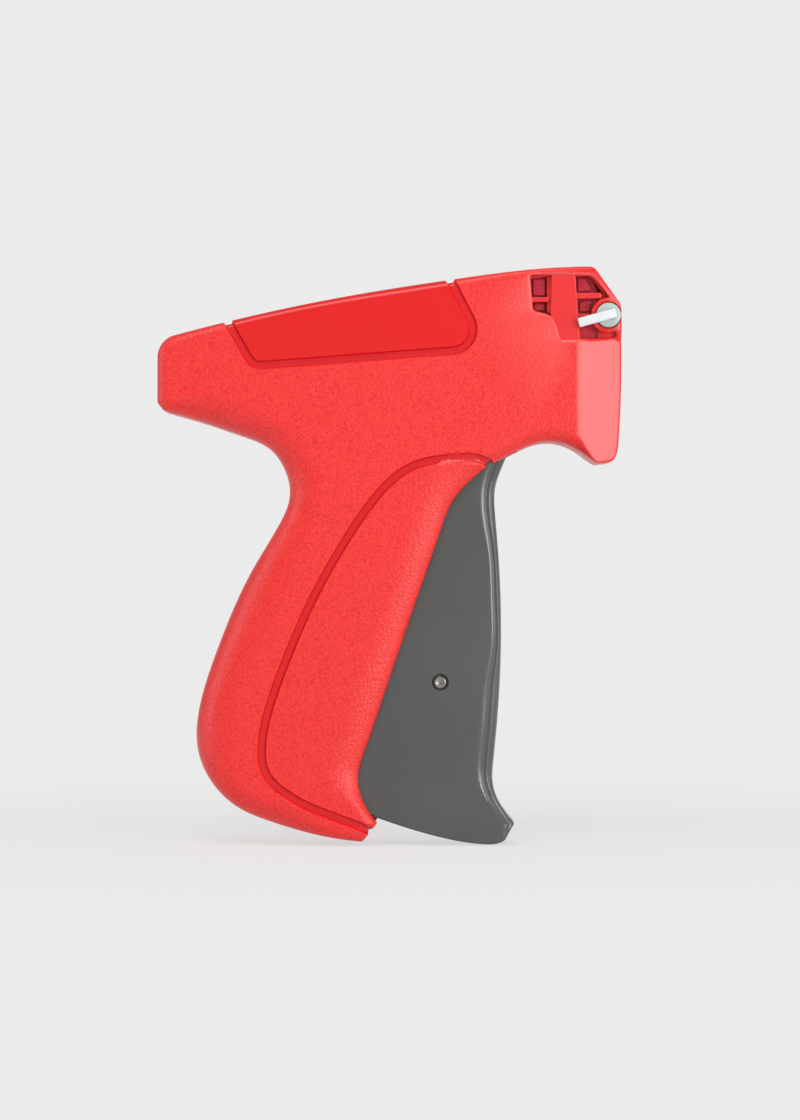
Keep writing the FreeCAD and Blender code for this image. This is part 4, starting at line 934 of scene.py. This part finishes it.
def metal(name, colour, roughness, stretch):
    """A ground or drawn metal; stretch gives the scale of its marks along each axis."""
    tree = Tree(bpy.data.materials.new(name))
    mapping = tree.add("Mapping", {"Vector": tree.coordinates(), "Scale": stretch})
    noise = tree.add("TexNoise", {"Vector": mapping.outputs["Vector"], "Scale": 1.0, "Detail": 4.0})
    marks = noise.outputs["Fac"]
    tree.shade("Base Color", tree.drifting(marks, tinted(colour, 0.85), tinted(colour, 1.1)))
    tree.shade("Roughness", tree.math("ADD", roughness - 0.08, tree.math("MULTIPLY", marks, 0.16)))
    tree.shade("Metallic", 1.0)
    tree.bump(marks, 0.000006)
    return tree.owner


def two_depths(name, levels, above, below, drift_scale, roughness):
    """A moulded plastic with one pair of colours above its levels along Y and another below them; the lower
    pair is darker, as painted shade in the deeper places.
    """
    tree = Tree(bpy.data.materials.new(name))
    drift = tree.noise(drift_scale, 3.0)
    colours = tree.drifting(drift, *above), tree.drifting(drift, *below)
    tree.shade("Base Color", tree.mix(tree.depth(*levels), *colours))
    tree.shade("Roughness", roughness)
    tree.bump(tree.noise(900.0), FINE_GRAIN)
    return tree.owner


MATERIALS = {
    "casing_red": casing_material(),
    # deeper plates are crimson and darker: the crimson is the tray's own, the darkness painted shade in the
    # pockets
    "tray_red": two_depths("tray_red_and_painted_shade_by_depth", (-10.2, -9.2), TRAY_REDS, TRAY_CRIMSON_AND_SHADE_REDS, 45.0, 0.32),
    "trigger_grey": plastic("trigger_dark_grey", (0.082, 0.084, 0.08), 0.22, 300.0, 0.000015),
    # painted shade: the disc below the raised bar drawn a darker grey-green than the bar
    "lock_grey": two_depths("lock_grey_with_painted_shade", (-12.7, -12.4), LOCK_GREYS, LOCK_SHADED_DISC_GREYS, 60.0, 0.4),
    "acetal": plastic("acetal_white", (0.80, 0.80, 0.76), 0.38),
    "steel": metal("ground_steel", (0.30, 0.27, 0.25), 0.38, (900.0, 200.0, 900.0)),
    "spring_steel": metal("oiled_spring_steel", (0.40, 0.41, 0.43), 0.3, (500.0, 500.0, 500.0)),
    "brass": metal("turned_brass", (0.72, 0.50, 0.20), 0.28, (200.0, 1500.0, 1500.0)),
    "buffer_rubber": plastic("black_rubber", (0.03, 0.03, 0.03), 0.7, 1500.0, 0.00003),
}


# Pieces

def piece(name, mesh, body, slot, nodes, weighted=False):
    """Put a finished mesh in the scene as a piece that rides on a body."""
    bm = bmesh.new()
    bm.from_mesh(mesh)
    bmesh.ops.dissolve_degenerate(bm, dist=THIN_EDGE, edges=bm.edges)
    limit = math.radians(SHARP_DEGREES)
    for face in bm.faces:
        face.smooth = True
    for edge in bm.edges:
        edge.smooth = len(edge.link_faces) != 2 or edge.calc_face_angle(0) < limit
    final = finished(bm, name)
    final.materials.clear()
    final.materials.append(MATERIALS[slot])
    thing = bpy.data.objects.new(name, final)
    bpy.context.scene.collection.objects.link(thing)
    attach(thing, body)
    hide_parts(*nodes)
    if weighted:
        thing.modifiers.new("flat_faces_lead", "WEIGHTED_NORMAL").keep_sharp = True
    print(name, len(final.polygons), "faces", open_edges(final), "open edges")
    return thing


# Where the casing's grain and colours change, in millimetres, and how smooth it is there; the colours are the
# panel's red, painted shade in the grooves and a painted highlight round the window's lip
GROOVE_TRACE = 0.02
TAPER_FADE = 0.6
TAPER_SMOOTHNESS = 0.8
FACE_DEPTH = 4.2
WITHIN_SMOOTHNESS = 0.5
LIP_BAND = 0.9
LIP_FADE = 0.3


def mark_areas(thing):
    """Note on the casing's points where its grain stops, and where its other reds lie: the panel, painted
    shade in the grooves, and a painted highlight round the window's lip.
    """
    verts = np.array([vert.co for vert in thing.data.vertices]) / MM
    flat = verts[:, [0, 2]]
    panel = inside(flat, PANEL_LINE).astype(float)
    depth = groove_depth(flat)
    taper = smooth_step((flat[:, 0] + NOSE_CREASE) / TAPER_FADE) * TAPER_SMOOTHNESS
    within = (np.abs(verts[:, 1]) < HALF_THICKNESS - FACE_DEPTH) * WITHIN_SMOOTHNESS
    window_gap = distance(flat, closed(WINDOW_RING))
    near_face = verts[:, 1] < -HALF_THICKNESS + LIP_BAND
    # band round the window's lip that carries the painted highlight
    lip = smooth_step((LIP_BAND - window_gap) / LIP_FADE) * near_face
    smooth = np.maximum.reduce([panel, depth > GROOVE_TRACE, taper, within, lip])
    for name, values in (("smooth_area", smooth), ("groove_shade_area", smooth_step(depth / GROOVE_DEPTH)),
                         ("lip_highlight_area", lip), ("panel_area", panel)):
        attribute = thing.data.attributes.new(name, "FLOAT", "POINT")
        attribute.data.foreach_set("value", values.astype(np.float32))


for side, node in ((NEAR, "right_casing"), (FAR, "left_casing")):
    shell = piece(f"{node}_shell", casing(side, node), "casing", "casing_red", [node])
    mark_areas(shell)


# Trigger: rows of inset and height from the mid plane out to its side

BEAD = [(0.0, 0.0), (0.0, 4.6), (0.12, 5.6), (0.4, 6.3), (0.8, 6.75), (1.2, 6.95), (1.5, 6.9),
        (1.62, 7.05), (1.72, 7.6), (2.0, 8.0), (2.5, 8.3), (3.2, 8.46), (3.9, 8.5)]


def wider(rows, factor):
    """Rows of a profile with their insets made larger."""
    return [(inset * factor, height) for inset, height in rows]


TRIGGER_PROFILES = {
    "front_top": wider(BEAD, 1.15),
    "front_mid": wider(BEAD, 0.82),
    "front_low": wider(BEAD, 1.4),
    "hook": [(0.0, 0.0), (0.0, 4.8), (0.08, 5.8), (0.25, 6.5), (0.5, 6.95), (0.75, 7.1), (0.9, 7.1),
             (1.0, 7.15), (1.1, 7.45), (1.9, 8.1), (2.2, 8.35), (2.3, 8.49), (2.6, 8.5)],
    "base": [(0.0, 0.0), (0.0, 6.4), (0.0, 7.0), (0.01, 7.6), (0.03, 7.9), (0.06, 8.05), (0.1, 8.15),
             (0.15, 8.22), (0.22, 8.32), (0.3, 8.4), (0.4, 8.45), (0.5, 8.49), (0.6, 8.5)],
}


def trigger_outer():
    """The outside of the trigger as a closed solid, rounded along its front edges."""
    half = rings_of(TRIGGER_SHARES, TRIGGER_PROFILES, STEP)
    rings = [np.column_stack([ring[:, :2], -ring[:, 2]]) for ring in half[:0:-1]] + half[1:]
    return mesh_of(*lofted(rings))


# Shares of the front and of the base that the hollow follows, and how far it opens past them
HOLLOW_FRONT_SHARES = np.linspace(0, 0.97, 40)
HOLLOW_BASE_SHARES = np.linspace(0.08, 1, 24)
HOLLOW_TOP_SHIFT = np.array([6.0, 14.0])
HOLLOW_BACK_SHIFT = np.array([-8.0, 0.5])

# Rows of the recess round the link pin, and of the pin's crowned end as radius and setback
LINK_RING_ROWS = [(LINK_RING_RADIUS, 7.1), (LINK_RING_RADIUS, 8.3), (LINK_RING_RADIUS + 0.1, 8.45),
                  (LINK_RING_RADIUS + 0.25, 8.52), (LINK_RING_RADIUS + 0.25, 9.5)]
PIN_END = [(0.85, 0.14), (1.0, 0.03), (1.2, 0.0), (1.42, 0.1), (LINK_PIN_RADIUS, 0.35)]


def all_between(low, high):
    """A block round the whole tool between two heights."""
    through = HALF_THICKNESS + OVER
    return block((-BODY_LENGTH - OVER, -through, low), (OVER, through, high))


def trigger_mesh():
    """The trigger: a drawn shell below, and the frame's own pivot arms above."""
    runs = outline_runs(TRIGGER_SHARES)
    front, base = runs[0][0], runs[2][0]
    inner_front = curve(front + right_hand(front) * TRIGGER_FRONT_WALL, HOLLOW_FRONT_SHARES)
    inner_base = curve(base + right_hand(base) * TRIGGER_BASE_WALL, HOLLOW_BASE_SHARES)
    top = inner_front[0] + HOLLOW_TOP_SHIFT
    back = inner_base[-1] + HOLLOW_BACK_SHIFT
    hollow = np.vstack([inner_front, inner_base, [back, (back[0], top[1]), top]])
    plate_inner = TRIGGER_HALF - TRIGGER_PLATE
    seam = TRIGGER_PIVOT[1] - PIVOT_BOSS_RADIUS - PIVOT_BOSS_GAP
    lower = cut(trigger_outer(), prism(hollow, -plate_inner, plate_inner),
                all_between(seam, NEEDLE_DROP + OVER))
    upper = cut(welded("trigger"), all_between(NEEDLE_DROP - BODY_HEIGHT - OVER, seam))
    bore = rod(LINK_PIN, LINK_PIN_RADIUS + LINK_PIN_GAP, -HALF_THICKNESS, HALF_THICKNESS)
    rings = [lathe([(radius, side * height) for radius, height in LINK_RING_ROWS], LINK_PIN)
             for side in (NEAR, FAR)]
    return cut(combine(lower, "UNION", upper), bore, *rings)


piece("trigger_shell", trigger_mesh(), "trigger", "trigger_grey", ["trigger"], weighted=True)
link_half = TRIGGER_HALF - LINK_PIN_SETBACK
pin_rows = [(radius, setback - link_half) for radius, setback in PIN_END]
pin_rows += [(radius, link_half - setback) for radius, setback in PIN_END[::-1]]
piece("link_pin_turned", lathe(pin_rows, LINK_PIN), "trigger", "steel", ["link_pin"])


# Lock lever

def turned(mesh, centre, degrees):
    """Turn a mesh about an axis along Y, as a positive turn about +Y takes it."""
    angle = math.radians(degrees)
    for vert in mesh.vertices:
        across = vert.co.x - centre[0] * MM
        up = vert.co.z - centre[1] * MM
        vert.co.x = centre[0] * MM + across * math.cos(angle) + up * math.sin(angle)
        vert.co.z = centre[1] * MM - across * math.sin(angle) + up * math.cos(angle)
    return mesh


def lock_mesh():
    """The disc of the lock lever with its raised bar."""
    inner = -KNOB_FACE + KNOB_THICKNESS
    disc = lathe([(KNOB_RADIUS - KNOB_EDGE, inner), (KNOB_RADIUS, inner - KNOB_EDGE),
                  (KNOB_RADIUS, -KNOB_FACE + 0.25), (KNOB_RADIUS - 0.08, -KNOB_FACE + 0.08),
                  (KNOB_RADIUS - 0.25, -KNOB_FACE)], KNOB)
    half_width = KNOB_BAR_WIDTH / 2
    bar = block((KNOB[0] - KNOB_BAR_REACH, -KNOB_FACE - KNOB_BAR_RISE, KNOB[1] - half_width),
                (KNOB[0] + KNOB_BAR_HEEL, -KNOB_FACE + KNOB_BAR_SINK, KNOB[1] + half_width),
                KNOB_BAR_BEVEL, 3)
    return combine(disc, "UNION", turned(bar, KNOB, -KNOB_BAR_DIP))


piece("lock_lever_moulded", lock_mesh(), "needle_lock", "lock_grey", ["lock_lever"])


# Tray seen in the window

def drawn_in(corners, gap):
    """A polygon with every side moved inward by a gap."""
    corners = np.asarray(corners, float)
    before = unit_rows(corners - np.roll(corners, 1, axis=0))
    inward = np.stack([-before[:, 1], before[:, 0]], axis=1) * (1 if turning_area(corners) > 0 else -1)
    following = np.roll(inward, -1, axis=0)
    mitre = (inward + following) / (1 + (inward * following).sum(1))[:, None]
    return corners + mitre * gap


def slab(corners, face, lip):
    """A moulded plate over a polygon of the side view, from the tray's back out to |y| = face."""
    rows = [(0.0, TRAY_BACK), (0.0, face - lip), (0.3 * lip, face - 0.35 * lip), (lip, face)]
    rings = []
    for inset, height in rows:
        ring = rounded_ring(drawn_in(corners, inset), PLATE_CORNER, 4)
        rings.append(np.column_stack([ring, np.full(len(ring), -height)]))
    return mesh_of(*lofted(rings))


def seen_at(depth, *pixels):
    """Places of the side view, at a depth towards the camera, from pixels of the photograph."""
    scale = FRAME_WIDTH / FRAME_PIXELS[0] * (CAMERA_DISTANCE - depth) / (CAMERA_DISTANCE - SCALE_PLANE)
    return [(CENTRE[0] + (x - FRAME_PIXELS[0] / 2) * scale, CENTRE[2] + (FRAME_PIXELS[1] / 2 - y) * scale)
            for x, y in pixels]


# Plates of the tray: how far out their faces lie, the width of their lips, and their corner pixels
TRAY_BACK = 7.0
TRAY_PLATES = [
    (8.0, 0.1, [(528, 275), (590, 274), (597.5, 291), (597.5, 341), (556, 342), (553, 320), (528, 316)]),
    (11.75, 0.2, [(551.5, 275), (575.3, 275), (576.8, 295.5), (577.8, 312), (579.4, 329), (579.8, 342),
                  (556, 342), (552, 330), (550.5, 314)]),
    (10.4, 0.5, [(546.6, 275), (556, 275), (559, 320), (552, 315.5), (546.8, 313)]),
    (9.0, 0.25, [(532.6, 279), (545.4, 279), (545.6, 295.6), (532.8, 295.8)]),
    (8.8, 0.25, [(533.4, 303.6), (545.6, 303.4), (545.6, 311), (534, 311)]),
    (10.9, 0.25, [(528, 297.4), (550, 297), (550, 301.8), (528, 302.2)]),
    (9.0, 0.25, [(577.8, 278), (585.4, 278), (591.6, 290.8), (577.8, 291.4)]),
    (8.8, 0.25, [(579.6, 301.2), (590.4, 300.6), (590.4, 311.6), (579.6, 312)]),
    (11.0, 0.25, [(576, 293.2), (601.5, 292.6), (601.5, 298.2), (576, 298.8)]),
    (10.3, 0.25, [(577, 314), (590, 313.4), (590, 317.4), (577, 318)]),
]


def tray_mesh():
    """The tray behind the window, joined out of its plates."""
    first, *others = [slab(seen_at(face, *corners), face, lip) for face, lip, corners in TRAY_PLATES]
    for plate in others:
        first = combine(first, "UNION", plate)
    return first


piece("feed_guide_moulded", tray_mesh(), "casing", "tray_red", ["feed_guide"], weighted=True)


# Frame nodes that keep their own shape

record_slots = {part["node"]: part["material_slot"] for part in frame["record"]["subparts"]}
for node, thing in frame["nodes"].items():
    if not thing.hide_render:
        thing.data.materials.clear()
        thing.data.materials.append(MATERIALS[record_slots[node]])


# Stage, lights and camera

PALE = (0.832, 0.832, 0.826)
FLOOR_GREY = (0.8, 0.8, 0.8)
WORLD_GREY = (0.46, 0.46, 0.46)
FLOOR_HALF = 9000.0
FLOOR_GAP = 0.2
# Distances in metres between which the floor's glow grows from its least share to its whole
GLOW_REACH = (0.05, 0.35)
LEAST_GLOW = 0.75


def floor_material():
    """Plain background colour far off, and a surface that takes a soft shadow round the object."""
    tree = Tree(bpy.data.materials.new("pale_floor"))
    path = tree.add("LightPath")
    seen = tree.math("MAXIMUM", path.outputs["Is Camera Ray"],
                     tree.math("MAXIMUM", path.outputs["Is Glossy Ray"], path.outputs["Is Transmission Ray"]))
    place_seen = tree.add("TexCoord").outputs["Object"]
    offset = tree.add("VectorMath", {0: place_seen, 1: (-CENTRE[0] * MM, 0, 0)}, operation="ADD")
    far_off = tree.add("VectorMath", {0: offset.outputs[0]}, operation="LENGTH").outputs["Value"]
    span = {"Value": far_off, "From Min": GLOW_REACH[0], "From Max": GLOW_REACH[1],
            "To Min": LEAST_GLOW, "To Max": 1.0}
    glow_share = tree.add("MapRange", span, interpolation_type="SMOOTHSTEP")
    tree.shade("Base Color", (*FLOOR_GREY, 1))
    tree.shade("Roughness", 0.8)
    tree.shade("Specular IOR Level", 0.0)
    glow = tree.add("Emission", {"Color": (*PALE, 1), "Strength": 1.0})
    share = tree.math("MULTIPLY", seen, glow_share.outputs["Result"])
    surface = tree.nodes["Principled BSDF"].outputs["BSDF"]
    mixed = tree.add("MixShader", {0: share, 1: surface, 2: glow.outputs["Emission"]})
    tree.put(tree.nodes["Material Output"].inputs["Surface"], mixed.outputs["Shader"])
    return tree.owner


low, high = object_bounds()
floor_corners = [(x * FLOOR_HALF, y * FLOOR_HALF, 0) for x, y in ((-1, -1), (1, -1), (1, 1), (-1, 1))]
floor_mesh = mesh_of(floor_corners, [(0, 1, 2, 3)])
floor_mesh.materials.append(floor_material())
floor = bpy.data.objects.new("floor", floor_mesh)
floor.location.z = low[2] - FLOOR_GAP * MM
bpy.context.scene.collection.objects.link(floor)

sky = Tree(bpy.data.worlds.new("studio"))
bpy.context.scene.world = sky.owner
rays = sky.add("LightPath").outputs
seen = sky.math("MAXIMUM", rays["Is Camera Ray"], rays["Is Transmission Ray"])
sky.put(sky.nodes["Background"].inputs["Color"], sky.mix(seen, (*WORLD_GREY, 1), (*PALE, 1)))


# Softboxes: where they stand, their width and height in millimetres, and their watts
SOFTBOXES = {
    "right_softbox": ((505, -770, -40), (240, 600), 5.4),
    "side_softbox": ((880, -300, -40), (340, 700), 2.6),
    "top_softbox": ((-150, -550, 800), (600, 400), 4.0),
    "left_softbox": ((-850, -80, 60), (240, 900), 1.8),
}


def softbox(name, place_mm, size_mm, power):
    """A rectangular lamp that faces the middle of the photograph's frame."""
    lamp = bpy.data.lights.new(name, "AREA")
    lamp.shape = "RECTANGLE"
    lamp.size, lamp.size_y = size_mm[0] * MM, size_mm[1] * MM
    lamp.energy = power
    thing = bpy.data.objects.new(name, lamp)
    thing.location = Vector(place_mm) * MM
    aim = Vector(CENTRE) * MM - thing.location
    thing.rotation_euler = aim.to_track_quat("-Z", "Y").to_euler()
    bpy.context.scene.collection.objects.link(thing)


for name, (spot, size, watts) in SOFTBOXES.items():
    softbox(name, spot, size, watts)

camera_data = bpy.data.cameras.new("camera")
camera_data.sensor_fit = "HORIZONTAL"
camera_data.lens = camera_data.sensor_width * (CAMERA_DISTANCE - SCALE_PLANE) / FRAME_WIDTH
camera = bpy.data.objects.new("camera", camera_data)
camera.location = (CENTRE[0] * MM, -CAMERA_DISTANCE * MM, CENTRE[2] * MM)
camera.rotation_euler = (math.pi / 2, 0, 0)
bpy.context.scene.collection.objects.link(camera)
bpy.context.scene.camera = camera
bpy.context.scene.view_settings.view_transform = "Standard"
